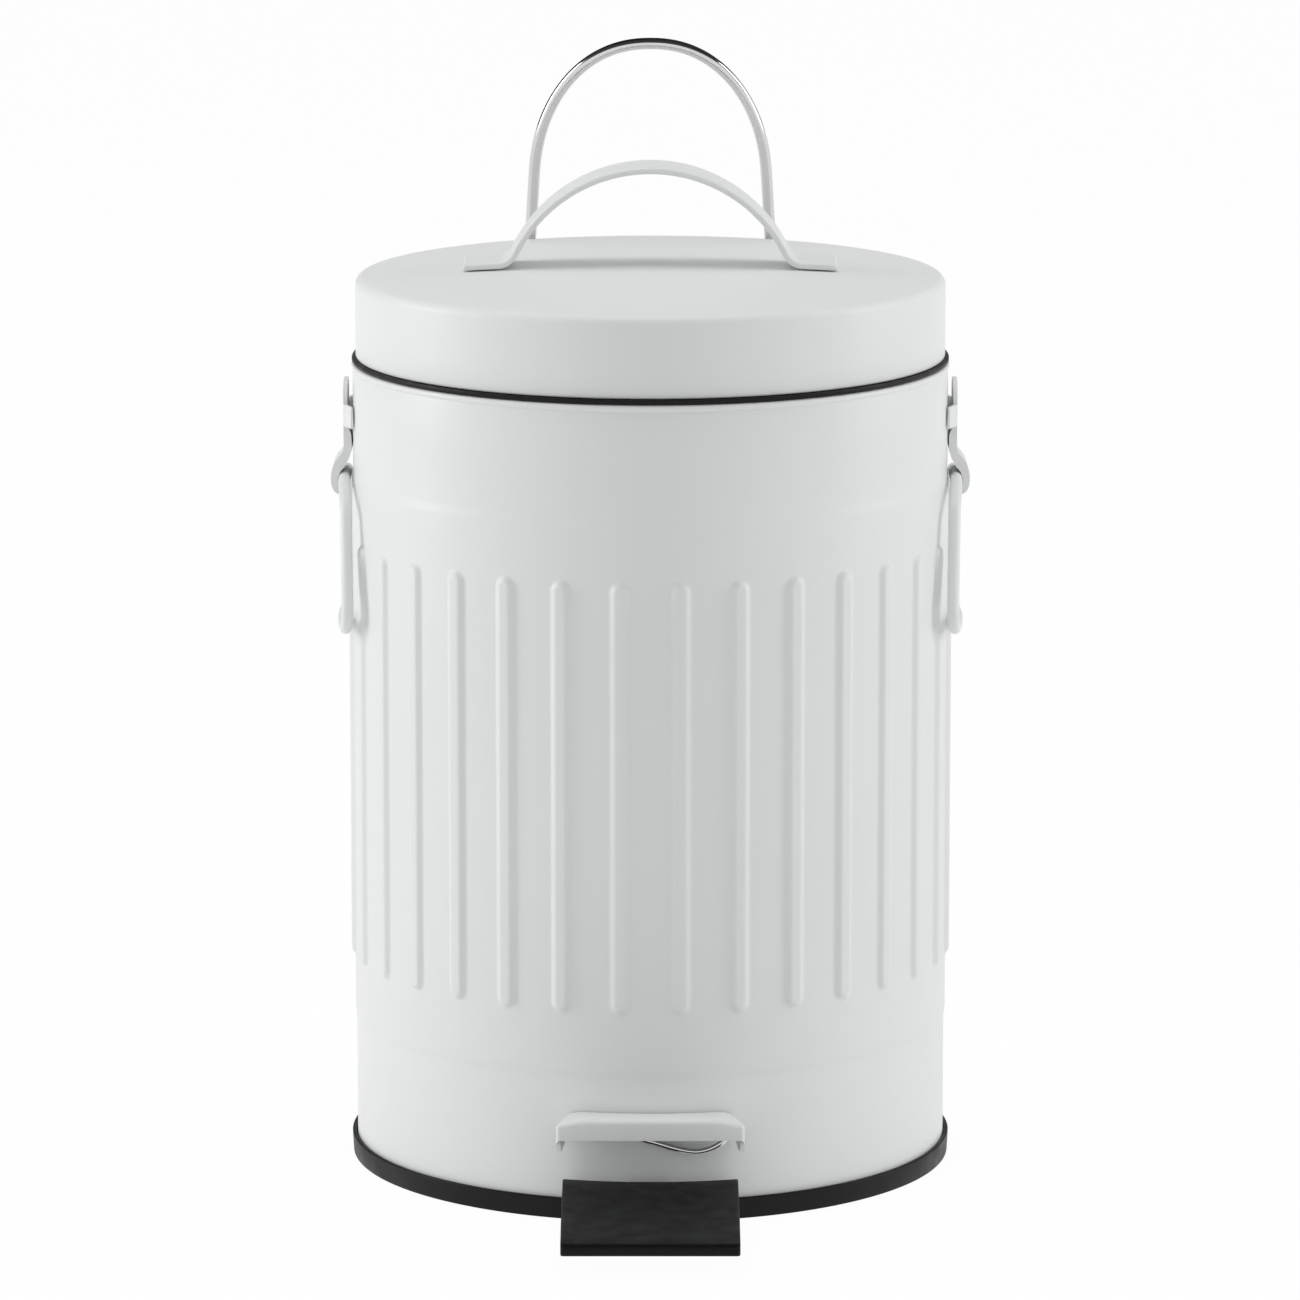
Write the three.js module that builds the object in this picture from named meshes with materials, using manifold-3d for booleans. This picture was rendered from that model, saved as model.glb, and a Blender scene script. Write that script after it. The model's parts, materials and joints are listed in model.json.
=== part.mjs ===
// A three-litre pedal bin in ribbed, powder-coated steel: a sheet body with a
// plastic base ring, a domed lid on a rear hinge, a pedal whose lever lifts a
// push rod, a chrome carrying bail and two side rings.
// Millimetres, +Z up, front towards -Y, standing on z = 0.

import * as THREE from 'three';
import { mergeVertices } from 'three/addons/utils/BufferGeometryUtils.js';
import Module from 'manifold-3d';

const wasm = await Module();
wasm.setup();
const { Manifold } = wasm;

// ---------------------------------------------------------------- clearances
const seat = 0.3; // between pieces that rest on one another
const runningFit = 0.3; // round a pin or a wire, per side
const swing = 0.8; // beside a piece that turns through an opening

// ---------------------------------------------------------------- body
const bodyRadius = 85; // the wide band between the two swages
const swageStep = 0.35;
const swageLow = 41.6;
const swageDrop = 32.4; // upper swage below the body's top
const swageRun = 1.2; // height over which a swage steps in
const sheet = 0.8;
const bodyTop = 230.4;
const beadRadius = 1.05;
const beadProud = 0.65; // bead beyond the wall below it

const ribCount = 30;
const ribWidth = 6.1;
const ribProud = 1.2;
const ribRoot = 0.1;
const ribLow = 58.8;
const ribDrop = 49; // ribs' upper ends below the body's top
const ribHigh = bodyTop - ribDrop;
const swageHigh = bodyTop - swageDrop;

const neckRadius = bodyRadius - swageStep;
const neckInner = neckRadius - sheet;
const bandInner = bodyRadius - sheet;

// ---------------------------------------------------------------- base ring
const baseHeight = 6.1;
const baseFlare = 0.3; // the ring is this much wider at its top
const baseWall = 1.25;
const baseFloor = 1.7;
const baseInset = 4.5; // inner edge of the face that stands on the floor, inside the band
const baseFoot = bodyRadius - baseInset;
const edgeBreak = 0.4; // chamfer on the plastic rings' edges

// ---------------------------------------------------------------- floor pan
const panSheet = 0.8;
const panTop = 24.3;

// ---------------------------------------------------------------- rim ring
const rimInset = 0.1; // ring's edge inside the body's band
const rimRadius = bodyRadius - rimInset;
const rimThick = 1.2;
const rimWidth = 6.5;
const rimInner = rimRadius - rimWidth;
const rimSkirtDrop = 8.5;
const rimSkirtWall = 1.2;
const rimTop = bodyTop + seat + rimThick;

// ---------------------------------------------------------------- lid
const lidInset = 1.2; // lid's skirt inside the body's band
const lidRadius = bodyRadius - lidInset;
const lidBottom = rimTop + seat;
const lidSkirt = 22.6;
const lidSkirtTop = lidBottom + lidSkirt;
const lidCorner = 2.5;
const lidRise = 3.3; // crown above the skirt's top
const hemDepth = 1.8;
const hemWidth = 0.6;

// ---------------------------------------------------------------- hinge
const pinRadius = 1.5;
const pinStandOff = 4.3; // pin axis behind the wide band
const pinDrop = 8.9; // pin axis below the body's top
const pinHole = pinRadius + runningFit;
const pinY = bodyRadius + pinStandOff;
const pinZ = bodyTop - pinDrop;
const barrelRadius = 2.9;
const hingeSheet = 1.0;
const bracketDrop = 11; // plate's lower edge below the pin
const bracketRise = 5.7; // and its upper edge above it
const bracketLow = pinZ - bracketDrop;
const bracketHigh = pinZ + bracketRise;
const leafLift = 4.3; // leaf's lower edge above the lid's
const leafHeight = 13;
const leafLow = lidBottom + leafLift;
const leafHigh = leafLow + leafHeight;
const leafHalf = 25;
const cheekSheet = 1.2;
const cheekSpan = 34.5; // middle of each bracket cheek from the centre line
const cheekEye = 4;
const cheekRoot = -70; // degrees round the eye at which the cheek's lower edge leaves it
const earSpan = 21.5; // middle of each lid ear from the centre line
const fingerWidth = 5; // the finger that the push rod lifts
const fingerSheet = 1.6; // its arm, set above the nose to clear the rod's head
const fingerUnder = 0.1; // arm's under side below the line from pin to nose
const fingerReach = 10.46;
const fingerDip = THREE.MathUtils.degToRad(37.5);
const noseRadius = 1.4;

// ---------------------------------------------------------------- carrying bail
const bailWire = 1.7;
const bailLength = 98.1; // pin axis to the middle of the wire at the top
const bailArch = 42; // height of the arched part
const bailEye = 4;
const bailEyeWidth = 3.8; // wider than the wire, so that the tapering legs clear the cheeks
const bailTaper = 5.9; // each leg leans in by this much over its length
const bailLean = THREE.MathUtils.degToRad(19);
const archPower = 2.2;
const eyeMiddle = cheekSpan + cheekSheet / 2 + seat + bailEyeWidth / 2;

// ---------------------------------------------------------------- lid handle
const strapSheet = 1.7;
const strapWidth = 19;
const strapArch = 43.8; // outer radius of the arched part
const strapRise = 28.3; // top of the arch above the lid's crown
const strapFoot = 53; // end of each foot from the centre line
const strapBend = 44.4; // where each foot starts to turn up
const strapElbow = 40.2; // where foot and arch would meet without the bend
const strapArchFoot = 26; // degrees above level at which the arch ends

// ---------------------------------------------------------------- side brackets and rings
const tabSheet = 1.2;
const hookSheet = 1.8; // depth of the neck and hook, whose edges are turned in
const tabReach = 2.2; // outer face of the strap beyond the band
const tabFace = bodyRadius + tabReach;
const tabDrop = 4.9; // strap's top below the body's
const tabTop = bodyTop - tabDrop;
const tabWidth = 14;
const tabNeck = 12.4;
const wingHalf = 12.5;
const wingFlat = 7;
const wingGap = 0.5; // between the wings' tips and the body
const tabCorner = 4;
const wingDrop = 4.9; // wings' upper edge below the strap's top
const wingHeight = 9.6;
const wingHigh = tabTop - wingDrop;
const wingLow = wingHigh - wingHeight;
const ringWire = 1.7;
const ringHang = 28.3; // axis that the ring swings on, below the strap's top
const ringHeight = tabTop - ringHang;
const ringAxisOut = tabFace; // the same axis from the body's axis
const shoulderOut = 3.4; // hook's shoulder beyond the neck
const shoulderHigh = 4.6; // and above the ring's axis
const hookBend = 6.2; // where the neck turns out to it, above the same axis
const neckTrim = 1.2;
const shoulderTrim = 1.8;
const hookStart = 5; // degrees round that axis at which the hook's curl starts
const hookEnd = -75; // and at which it stops
const ringTopHalf = 11;
const ringSideHalf = 22.5; // where the sides turn down
const ringSideDrop = 6;
const ringFootHalf = 30.3;
const ringDrop = 40.5;
const ringTopBend = 3.5;
const ringSideBend = 6;
const ringFootBend = 8;
const ringBow = 2.3; // the sides lie this much nearer the body than the foot's middle
const ringFootOut = bodyRadius + ribProud + seat + ringWire; // it rests on a rib
const ringLean = Math.atan2(ringFootOut - ringAxisOut, ringDrop);
const hookInner = ringWire + runningFit;

// ---------------------------------------------------------------- pedal
const pivotY = 8 - bodyRadius;
const pivotZ = 7.2;
const leverWidth = 12;
const leverSheet = 1.5;
const leverLevel = 10.25; // middle of the strap over the pivot
const leverTail = 7.6; // middle of the strap under the push rod
const leverFlange = 3; // depth of the channel's sides below the strap
const leverEar = 2.8;
const leverStep = 5; // run over which the strap drops from the pad to the lever
const leverDropStart = bodyRadius - 25; // where the strap has come down to its tail's level
const leverDrop = 0.3; // fall from there to the tail
const leverEndTrim = 1.8; // strap beyond the middle of the push rod
const flangeEndTrim = 5; // flanges stop this far short of it
const padGrip = 4.5; // strap's end behind the pad's front
const yokeSheet = 1.2;
const yokeDepth = 7;
const padWidth = 49.2;
const padBackRadius = bodyRadius + 6.6; // the pad's back edge follows the body
const padLength = 53.9;
const padBackTop = 13.3;
const padFront = -padBackRadius - padLength;
const padFrontTop = 9.7;
const padFrontLow = 6;
const padBackThick = 4.6;
const padSkin = 2;
const padWall = 2;
const padCorner = 1.6;

// ---------------------------------------------------------------- push rod
const rodRadius = 1.6;
const rodOut = bodyRadius - 4.8; // its middle behind the body's axis
const rodHead = 2.2;
const rodFoot = 2.1;
const guideLow = pinZ - 35.5;
const guideHigh = guideLow + 6;
const guideHalf = 9;

// ---------------------------------------------------------------- pedal hood
const hoodReach = 8; // flat front beyond the body's band
const hoodFront = bodyRadius + hoodReach;
const hoodSheet = 1.2;
const hoodTop = 31;
const hoodLow = 25.2;
const hoodHalf = 27;
const hoodShelfHalf = 23.4; // the top sheet stops short of the front's ends
const hoodBend = 1.6;
const hoodTip = 21.6; // lowest point of each side
const sideEdgeBack = 1.5; // rise of each side's lower edge at the body
const sideEdgeTip = 1.2; // and at its blunted tip
const bowWire = 0.85;
const bowInset = 5.4; // wire's middle behind the hood's front
const bowOut = hoodFront - bowInset;
const bowLine = [
  [-2, 24.6],
  [13.4, 20.8],
  [21, 24],
];
const bowEnds = [-10, 21.8]; // where the wire meets the hood's top sheet

// ---------------------------------------------------------------- bucket
const bucketTopRadius = bodyRadius - 8.5;
const bucketFootRadius = bucketTopRadius - 7;
const bucketFoot = 30;
const bucketWall = 1.5;
const bucketFlange = bucketTopRadius + 5;
const bucketFlangeThick = 1.8;
const lugHigh = 4.5;
const lugSheet = 1.5;
const lugHalf = 3;
const lugRoot = 0.5; // lug sunk into the flange
const bucketCorner = 3;
const bailBend = 2.6;
const bailEndTrim = 1.5; // wire end inside its lug
const bucketWire = 1.2;
const bucketBailRadius = bucketFlange - 1.7;

// ---------------------------------------------------------------- rivets
const rivetShank = 1.2;
const rivetHead = 2.4;
const rivetCrown = 1.7; // flat top of the head
const rivetHeadHigh = 1.1;
const rivetHole = rivetShank + runningFit;
const bracketRivetX = 18;
const bracketRivetZ = pinZ - 5.5;
const lidRivetX = 12;
const lidRivetZ = leafLow + 6.5;

// ---------------------------------------------------------------- facets
const roundSides = 2 * ribCount; // each rib stands in the middle of a facet
const hiddenSides = 36; // turned pieces inside
const beadSteps = 4;
const rivetSides = 8;
const eyeSteps = 8; // round the eyes of the hinges
const archSteps = 20; // over the handle's and the bail's arches
const wireSides = 8;
const thinWireSides = 6;
const pinSides = 12;

// ---------------------------------------------------------------- materials
function finish(colour, roughness, metalness) {
  return () => new THREE.MeshStandardMaterial({ color: colour, roughness, metalness });
}
const whiteCoat = finish(0xe9ebea, 0.45, 0.0);
const chrome = finish(0xc8c9cb, 0.12, 1.0);
const zincSteel = finish(0xa9acae, 0.4, 1.0);
const blackPlastic = finish(0x1c1c1d, 0.5, 0.0);
const padPlastic = finish(0x222324, 0.6, 0.0);
const bucketPlastic = finish(0x2a2b2c, 0.55, 0.0);

// ---------------------------------------------------------------- solids
const weld = 1e-4;

// The triangles of an indexed mesh that have three different corners.
function trueTriangles(index) {
  const kept = [];
  for (let i = 0; i < index.length; i += 3) {
    const [a, b, c] = [index[i], index[i + 1], index[i + 2]];
    if (a !== b && b !== c && c !== a) {
      kept.push(a, b, c);
    }
  }
  return kept;
}

function signedVolume(positions, triangles) {
  const [a, b, c] = [new THREE.Vector3(), new THREE.Vector3(), new THREE.Vector3()];
  let sum = 0;
  for (let i = 0; i < triangles.length; i += 3) {
    a.fromArray(positions, triangles[i] * 3);
    b.fromArray(positions, triangles[i + 1] * 3);
    c.fromArray(positions, triangles[i + 2] * 3);
    sum += a.dot(b.cross(c));
  }
  return sum;
}

// A closed geometry as a solid whose faces point out.
function solid(geometry) {
  const bare = geometry.clone();
  bare.deleteAttribute('normal');
  bare.deleteAttribute('uv');
  const welded = mergeVertices(bare, weld);
  const vertProperties = new Float32Array(welded.attributes.position.array);
  const triangles = trueTriangles(welded.index.array);
  if (signedVolume(vertProperties, triangles) < 0) {
    triangles.reverse();
  }
  const triVerts = new Uint32Array(triangles);
  return new Manifold(new wasm.Mesh({ numProp: 3, vertProperties, triVerts }));
}

function join(...solids) {
  return solids.reduce((whole, next) => whole.add(next));
}

function cut(whole, ...tools) {
  return tools.reduce((rest, tool) => rest.subtract(tool), whole);
}

function common(first, second) {
  return first.intersect(second);
}

// A named piece of the bin.
function piece(name, shape, material) {
  const { vertProperties, triVerts } = shape.getMesh();
  const geometry = new THREE.BufferGeometry();
  geometry.setAttribute('position', new THREE.BufferAttribute(new Float32Array(vertProperties), 3));
  geometry.setIndex(new THREE.BufferAttribute(new Uint32Array(triVerts), 1));
  geometry.computeVertexNormals();
  const mesh = new THREE.Mesh(geometry, material());
  mesh.name = name;
  return mesh;
}

// ---------------------------------------------------------------- forms
function point(x, y) {
  return new THREE.Vector2(x, y);
}

// Points along an arc, angles in degrees.
function arc(x, y, radius, from, to, steps) {
  return Array.from({ length: steps + 1 }, (_, i) => {
    const angle = THREE.MathUtils.degToRad(from + ((to - from) * i) / steps);
    return point(x + radius * Math.cos(angle), y + radius * Math.sin(angle));
  });
}

// A profile of (radius, height) points turned about the upright axis, with the
// middle of a facet at the front.
function turned(profile, sides) {
  return solid(new THREE.LatheGeometry(profile, sides, Math.PI / sides).rotateX(Math.PI / 2));
}

// The same for a profile that closes on itself.
function turnedRing(profile, sides) {
  return turned([...profile, profile[0]], sides);
}

function box(x0, x1, y0, y1, z0, z1) {
  const block = new THREE.BoxGeometry(x1 - x0, y1 - y0, z1 - z0);
  return solid(block.translate((x0 + x1) / 2, (y0 + y1) / 2, (z0 + z1) / 2));
}

function slab(outline, depth) {
  const shape = Array.isArray(outline) ? new THREE.Shape(outline) : outline;
  return new THREE.ExtrudeGeometry(shape, { depth, bevelEnabled: false, curveSegments: 6 });
}

// An outline drawn in (y, z), from x0 to x1.
function alongX(outline, x0, x1) {
  const turn = new THREE.Matrix4().set(0, 0, 1, x0, 1, 0, 0, 0, 0, 1, 0, 0, 0, 0, 0, 1);
  return solid(slab(outline, x1 - x0).applyMatrix4(turn));
}

// An outline drawn in (x, z), from y0 to y1.
function alongY(outline, y0, y1) {
  return solid(slab(outline, y1 - y0).rotateX(Math.PI / 2).translate(0, y1, 0));
}

// An outline drawn in (x, y), from z0 to z1.
function alongZ(outline, z0, z1) {
  return solid(slab(outline, z1 - z0).translate(0, 0, z0));
}

// A rod of round section along X.
function rodX(radius, x0, x1, y, z) {
  const rod = new THREE.CylinderGeometry(radius, radius, x1 - x0, pinSides);
  return solid(rod.rotateZ(Math.PI / 2).translate((x0 + x1) / 2, y, z));
}

function rodZ(radius, z0, z1, x, y) {
  const rod = new THREE.CylinderGeometry(radius, radius, z1 - z0, pinSides);
  return solid(rod.rotateX(Math.PI / 2).translate(x, y, (z0 + z1) / 2));
}

// The outline of a sheet of even thickness along a row of points.
function sheetAlong(middle, thickness) {
  const sides = [[], []];
  middle.forEach((here, i) => {
    const before = middle[Math.max(i - 1, 0)];
    const after = middle[Math.min(i + 1, middle.length - 1)];
    const arriving = here.clone().sub(before).normalize();
    const leaving = after.clone().sub(here).normalize();
    const along = arriving.clone().add(leaving).normalize();
    const straight = arriving.lengthSq() > 0 && leaving.lengthSq() > 0;
    const mitre = straight ? along.dot(leaving) : 1;
    const across = point(-along.y, along.x).multiplyScalar(thickness / 2 / mitre);
    sides[0].push(here.clone().add(across));
    sides[1].unshift(here.clone().sub(across));
  });
  return [...sides[0], ...sides[1]];
}

// The middle line of a bent wire, with one section of the wire on each point.
class BentLine extends THREE.Curve {
  constructor(points) {
    super();
    this.points = points;
  }

  getPoint(t) {
    return this.points[Math.round(t * (this.points.length - 1))].clone();
  }

  getPointAt(u) {
    return this.getPoint(u);
  }

  getTangentAt(u) {
    const last = this.points.length - 1;
    const here = Math.round(u * last);
    const before = this.points[Math.max(here - 1, 0)];
    const after = this.points[Math.min(here + 1, last)];
    const middle = this.points[here];
    const arriving = middle.clone().sub(before).normalize();
    const leaving = after.clone().sub(middle).normalize();
    return arriving.add(leaving).normalize();
  }
}

function wire(points, radius, sides) {
  const section = new THREE.Shape().absarc(0, 0, radius, 0, 2 * Math.PI);
  const extrudePath = new BentLine(points);
  const steps = points.length - 1;
  const bent = { steps, extrudePath, bevelEnabled: false, curveSegments: sides / 2 };
  return solid(new THREE.ExtrudeGeometry(section, bent));
}

// The same section on both sides of the centre line, from near to far of it.
function bothSides(near, far, make) {
  return [make(-far, -near), make(near, far)];
}

// The same for a sheet whose middle stands at one distance from the line.
function bothSheets(middle, thickness, make) {
  return bothSides(middle - thickness / 2, middle + thickness / 2, make);
}

// A line from start to end through corners, each rounded within its trim.
function roundedLine(start, corners, end) {
  const stops = [start, ...corners.map((corner) => corner.at), end];
  const path = new THREE.Path();
  path.moveTo(start.x, start.y);
  corners.forEach(({ at, trim }, i) => {
    const from = stops[i].clone().sub(at).setLength(trim).add(at);
    const to = stops[i + 2].clone().sub(at).setLength(trim).add(at);
    path.lineTo(from.x, from.y);
    path.quadraticCurveTo(at.x, at.y, to.x, to.y);
  });
  path.lineTo(end.x, end.y);
  return path;
}

// A part of a turned piece that lies behind (+1) or in front (-1) of the axis.
function sector(whole, half, side) {
  const far = 2 * bodyRadius;
  const [y0, y1] = side > 0 ? [0, far] : [-far, 0];
  return common(whole, box(-half, half, y0, y1, -far, 2 * far));
}

// ---------------------------------------------------------------- body shell
function bodyProfile() {
  const beadMiddle = neckRadius + beadProud - beadRadius;
  const beadHeight = bodyTop - beadRadius;
  const joinOut = THREE.MathUtils.radToDeg(Math.acos((neckRadius - beadMiddle) / beadRadius));
  const joinIn = THREE.MathUtils.radToDeg(Math.acos((neckInner - beadMiddle) / beadRadius));
  return [
    point(neckRadius, baseFloor + seat),
    point(neckRadius, swageLow - swageRun / 2),
    point(bodyRadius, swageLow + swageRun / 2),
    point(bodyRadius, swageHigh - swageRun / 2),
    point(neckRadius, swageHigh + swageRun / 2),
    ...arc(beadMiddle, beadHeight, beadRadius, -joinOut, 360 - joinIn, beadSteps),
    point(neckInner, swageHigh + swageRun / 2),
    point(bandInner, swageHigh - swageRun / 2),
    point(bandInner, swageLow + swageRun / 2),
    point(neckInner, swageLow - swageRun / 2),
    point(neckInner, baseFloor + seat),
  ];
}

// Upright round-ended swells, one on each rib, proud of the given radius. Each
// has a flat back, rooted a little below the facet that it stands on.
function ribSwells(radius, width, capSteps, sides) {
  const length = ribHigh - ribLow - ribWidth;
  const swell = new THREE.CapsuleGeometry(width / 2, length, capSteps, sides).rotateX(Math.PI / 2);
  swell.scale(1, (ribProud + ribRoot) / (width / 2), 1);
  const corners = swell.attributes.position;
  for (let i = 0; i < corners.count; i += 1) {
    corners.setY(i, Math.min(corners.getY(i), 0));
  }
  const facet = radius * Math.cos(Math.PI / roundSides);
  swell.translate(0, ribRoot - facet, (ribLow + ribHigh) / 2);
  const step = (2 * Math.PI) / ribCount;
  const swells = Array.from({ length: ribCount }, (_, i) =>
    solid(swell.clone().rotateZ((i + 0.5) * step))
  );
  return Manifold.union(swells);
}

const slotHalf = fingerWidth / 2 + swing;
const fingerTipY = pinY - fingerReach * Math.cos(fingerDip);
const fingerTipZ = pinZ - fingerReach * Math.sin(fingerDip);
const fingerSlope = Math.tan(fingerDip);
const slotSpan = fingerSlope * (pinY - neckInner) + noseRadius / Math.cos(fingerDip) + seat;
const slotLow = pinZ - slotSpan;
const slotHigh = pinZ + slotSpan + seat;
const leverSlotHalf = leverWidth / 2 + swing;
const leverSlotHigh = leverLevel + leverSheet / 2 + seat;

function rivetPlace(x, radius) {
  return Math.asin(x / radius);
}

// A round hole through the back wall, pointing away from the axis.
function backHole(x, z) {
  const hole = new THREE.CylinderGeometry(rivetHole, rivetHole, 8, 12);
  hole.translate(0, bodyRadius, 0).rotateZ(-rivetPlace(x, bodyRadius)).translate(0, 0, z);
  return solid(hole);
}

function backHoles(x, z) {
  return [-1, 1].map((side) => backHole(side * x, z));
}

function bodyShell() {
  const shell = turnedRing(bodyProfile(), roundSides);
  const outside = ribSwells(bodyRadius, ribWidth, 2, 6);
  const inside = ribSwells(bandInner, ribWidth - 2 * sheet, 1, 4);
  const fingerSlot = box(-slotHalf, slotHalf, 0, 2 * bodyRadius, slotLow, slotHigh);
  const leverSlot = box(
    -leverSlotHalf, leverSlotHalf, -2 * bodyRadius, 0, baseHeight + seat, leverSlotHigh
  );
  const openings = [fingerSlot, leverSlot, ...backHoles(bracketRivetX, bracketRivetZ)];
  return cut(join(shell, outside), inside, ...openings);
}

// ---------------------------------------------------------------- base ring
function baseRing() {
  const outerInside = neckRadius + seat;
  const outerTop = outerInside + baseWall;
  const innerOutside = neckInner - seat;
  return turnedRing(
    [
      point(outerTop - baseFlare, 0),
      point(outerTop, baseHeight - edgeBreak),
      point(outerTop - edgeBreak, baseHeight),
      point(outerInside, baseHeight),
      point(outerInside, baseFloor),
      point(innerOutside, baseFloor),
      point(innerOutside, baseHeight),
      point(innerOutside - baseWall, baseHeight),
      point(innerOutside - baseWall, baseFloor),
      point(baseFoot, baseFloor),
      point(baseFoot, 0),
    ],
    roundSides
  );
}

// ---------------------------------------------------------------- floor pan
const panRadius = neckInner - seat;

function floorPan() {
  const low = baseHeight + seat;
  const pan = turned(
    [
      point(0, panTop),
      point(panRadius - panSheet, panTop),
      point(panRadius, panTop - panSheet),
      point(panRadius, low),
      point(panRadius - panSheet, low),
      point(panRadius - panSheet, panTop - panSheet),
      point(0, panTop - panSheet),
    ],
    hiddenSides
  );
  const rodHole = rodZ(rodRadius + runningFit, 0, 2 * panTop, 0, rodOut);
  const notch = box(
    -leverSlotHalf, leverSlotHalf, -2 * bodyRadius, pivotY, 0, leverSlotHigh + seat
  );
  return cut(pan, rodHole, notch);
}

// ---------------------------------------------------------------- rim ring
function rimRing() {
  const skirtOuter = neckRadius + beadProud - 2 * beadRadius - seat;
  const skirtInner = skirtOuter - rimSkirtWall;
  const under = bodyTop + seat;
  const ring = turnedRing(
    [
      point(rimRadius, under),
      point(rimRadius, rimTop - edgeBreak),
      point(rimRadius - edgeBreak, rimTop),
      point(rimInner, rimTop),
      point(rimInner, under),
      point(skirtInner, under),
      point(skirtInner, under - rimSkirtDrop),
      point(skirtOuter, under - rimSkirtDrop),
      point(skirtOuter, under),
    ],
    roundSides
  );
  const half = slotHalf + swing;
  return cut(ring, box(-half, half, 0, 2 * bodyRadius, 0, under));
}

// ---------------------------------------------------------------- lid
const lidFlat = lidRadius - lidCorner;
const domeRadius = (lidFlat * lidFlat + lidRise * lidRise) / (2 * lidRise);
const lidCrown = lidSkirtTop + lidRise;

function domeHeight(radius) {
  return lidCrown - domeRadius + Math.sqrt(domeRadius * domeRadius - radius * radius);
}

function dome(drop, steps) {
  return Array.from({ length: steps + 1 }, (_, i) => {
    const radius = (lidFlat * i) / steps;
    return point(radius, domeHeight(radius) - drop);
  });
}

function lidShell() {
  const inner = lidRadius - sheet;
  const cornerHeight = lidSkirtTop - lidCorner;
  const outside = [
    ...dome(0, 3),
    ...arc(lidFlat, cornerHeight, lidCorner, 68, 0, 3),
    point(lidRadius, lidBottom),
    point(inner - hemWidth, lidBottom),
    point(inner - hemWidth, lidBottom + hemDepth),
    point(inner, lidBottom + hemDepth + hemWidth),
  ];
  const inside = [
    ...arc(lidFlat, cornerHeight, lidCorner - sheet, 0, 60, 1),
    ...dome(sheet, 1).reverse(),
  ];
  const shell = turned([...outside, ...inside], roundSides);
  return cut(shell, ...backHoles(lidRivetX, lidRivetZ));
}

// A strap bent into an arch, with a flat foot on the lid at each end.
function lidHandle() {
  const middleRadius = strapArch - strapSheet / 2;
  const archMiddle = lidCrown + strapRise - strapArch;
  const footZ = (x) => domeHeight(x) + seat + strapSheet / 2;
  const arch = arc(0, archMiddle, middleRadius, 180 - strapArchFoot, strapArchFoot, archSteps);
  const footStart = point(strapBend, footZ(strapBend));
  const elbow = point(strapElbow, footStart.y);
  const bend = new THREE.QuadraticBezierCurve(arch.at(-1), elbow, footStart);
  const right = [...bend.getPoints(5).slice(1), point(strapFoot, footZ(strapFoot))];
  const left = right.map((p) => point(-p.x, p.y)).reverse();
  const strap = sheetAlong([...left, ...arch, ...right], strapSheet);
  return alongY(strap, -strapWidth / 2, strapWidth / 2);
}

// ---------------------------------------------------------------- hinge
const leafInner = lidRadius + seat;
const leafOuter = leafInner + hingeSheet;
function lidHinge() {
  const leaf = sector(
    turnedRing(
      [
        point(leafOuter, leafLow),
        point(leafOuter, leafHigh),
        point(leafInner, leafHigh),
        point(leafInner, leafLow),
      ],
      roundSides
    ),
    leafHalf,
    1
  );
  const leafMiddle = (leafInner + leafOuter) / 2;
  const rootY = Math.sqrt(leafMiddle * leafMiddle - earSpan * earSpan);
  const ear = new THREE.Shape([
    point(rootY, leafLow + seat),
    point(rootY, leafHigh - seat),
    point(pinY + barrelRadius, pinZ),
    ...arc(pinY, pinZ, barrelRadius, 0, -180, eyeSteps),
  ]);
  const ears = bothSheets(earSpan, cheekSheet, (x0, x1) => alongX(ear, x0, x1));
  const barrelHalf = earSpan + cheekSheet / 2;
  const barrel = rodX(barrelRadius, -barrelHalf, barrelHalf, pinY, pinZ);
  const rise = fingerSheet / 2 - fingerUnder;
  const over = point(-Math.sin(fingerDip), Math.cos(fingerDip)).multiplyScalar(rise);
  const line = [point(pinY, pinZ).add(over), point(fingerTipY, fingerTipZ).add(over)];
  const finger = sheetAlong(line, fingerSheet);
  const arm = alongX(finger, -fingerWidth / 2, fingerWidth / 2);
  const nose = rodX(noseRadius, -fingerWidth / 2, fingerWidth / 2, fingerTipY, fingerTipZ);
  const bore = rodX(pinHole, -bodyRadius, bodyRadius, pinY, pinZ);
  return cut(join(leaf, ...ears, barrel, arm, nose), bore, ...backHoles(lidRivetX, lidRivetZ));
}

function hingeBracket() {
  const inner = neckRadius + seat;
  const outer = inner + hingeSheet;
  const plate = sector(
    turnedRing(
      [
        point(outer, bracketLow),
        point(outer, bracketHigh),
        point(inner, bracketHigh),
        point(inner, bracketLow),
      ],
      roundSides
    ),
    cheekSpan + cheekSheet / 2,
    1
  );
  const middle = (inner + outer) / 2;
  const rootY = Math.sqrt(middle * middle - cheekSpan * cheekSpan);
  const cheek = new THREE.Shape([
    point(rootY, bracketLow + seat),
    ...arc(pinY, pinZ, cheekEye, cheekRoot, 90, eyeSteps),
    point(rootY, bracketHigh - seat),
  ]);
  const cheeks = bothSheets(cheekSpan, cheekSheet, (x0, x1) => alongX(cheek, x0, x1));
  const bore = rodX(pinHole, -bodyRadius, bodyRadius, pinY, pinZ);
  const notch = box(-slotHalf, slotHalf, 0, 2 * bodyRadius, slotLow - seat, 2 * bodyTop);
  const openings = [bore, notch, ...backHoles(bracketRivetX, bracketRivetZ)];
  return cut(join(plate, ...cheeks), ...openings);
}

const eyeOuter = eyeMiddle + bailEyeWidth / 2;
const pinHead = 2.8;
const pinHeadThick = 1.3;
const pinEnd = eyeOuter + seat + pinHeadThick;
const capThick = 1.1;

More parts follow.
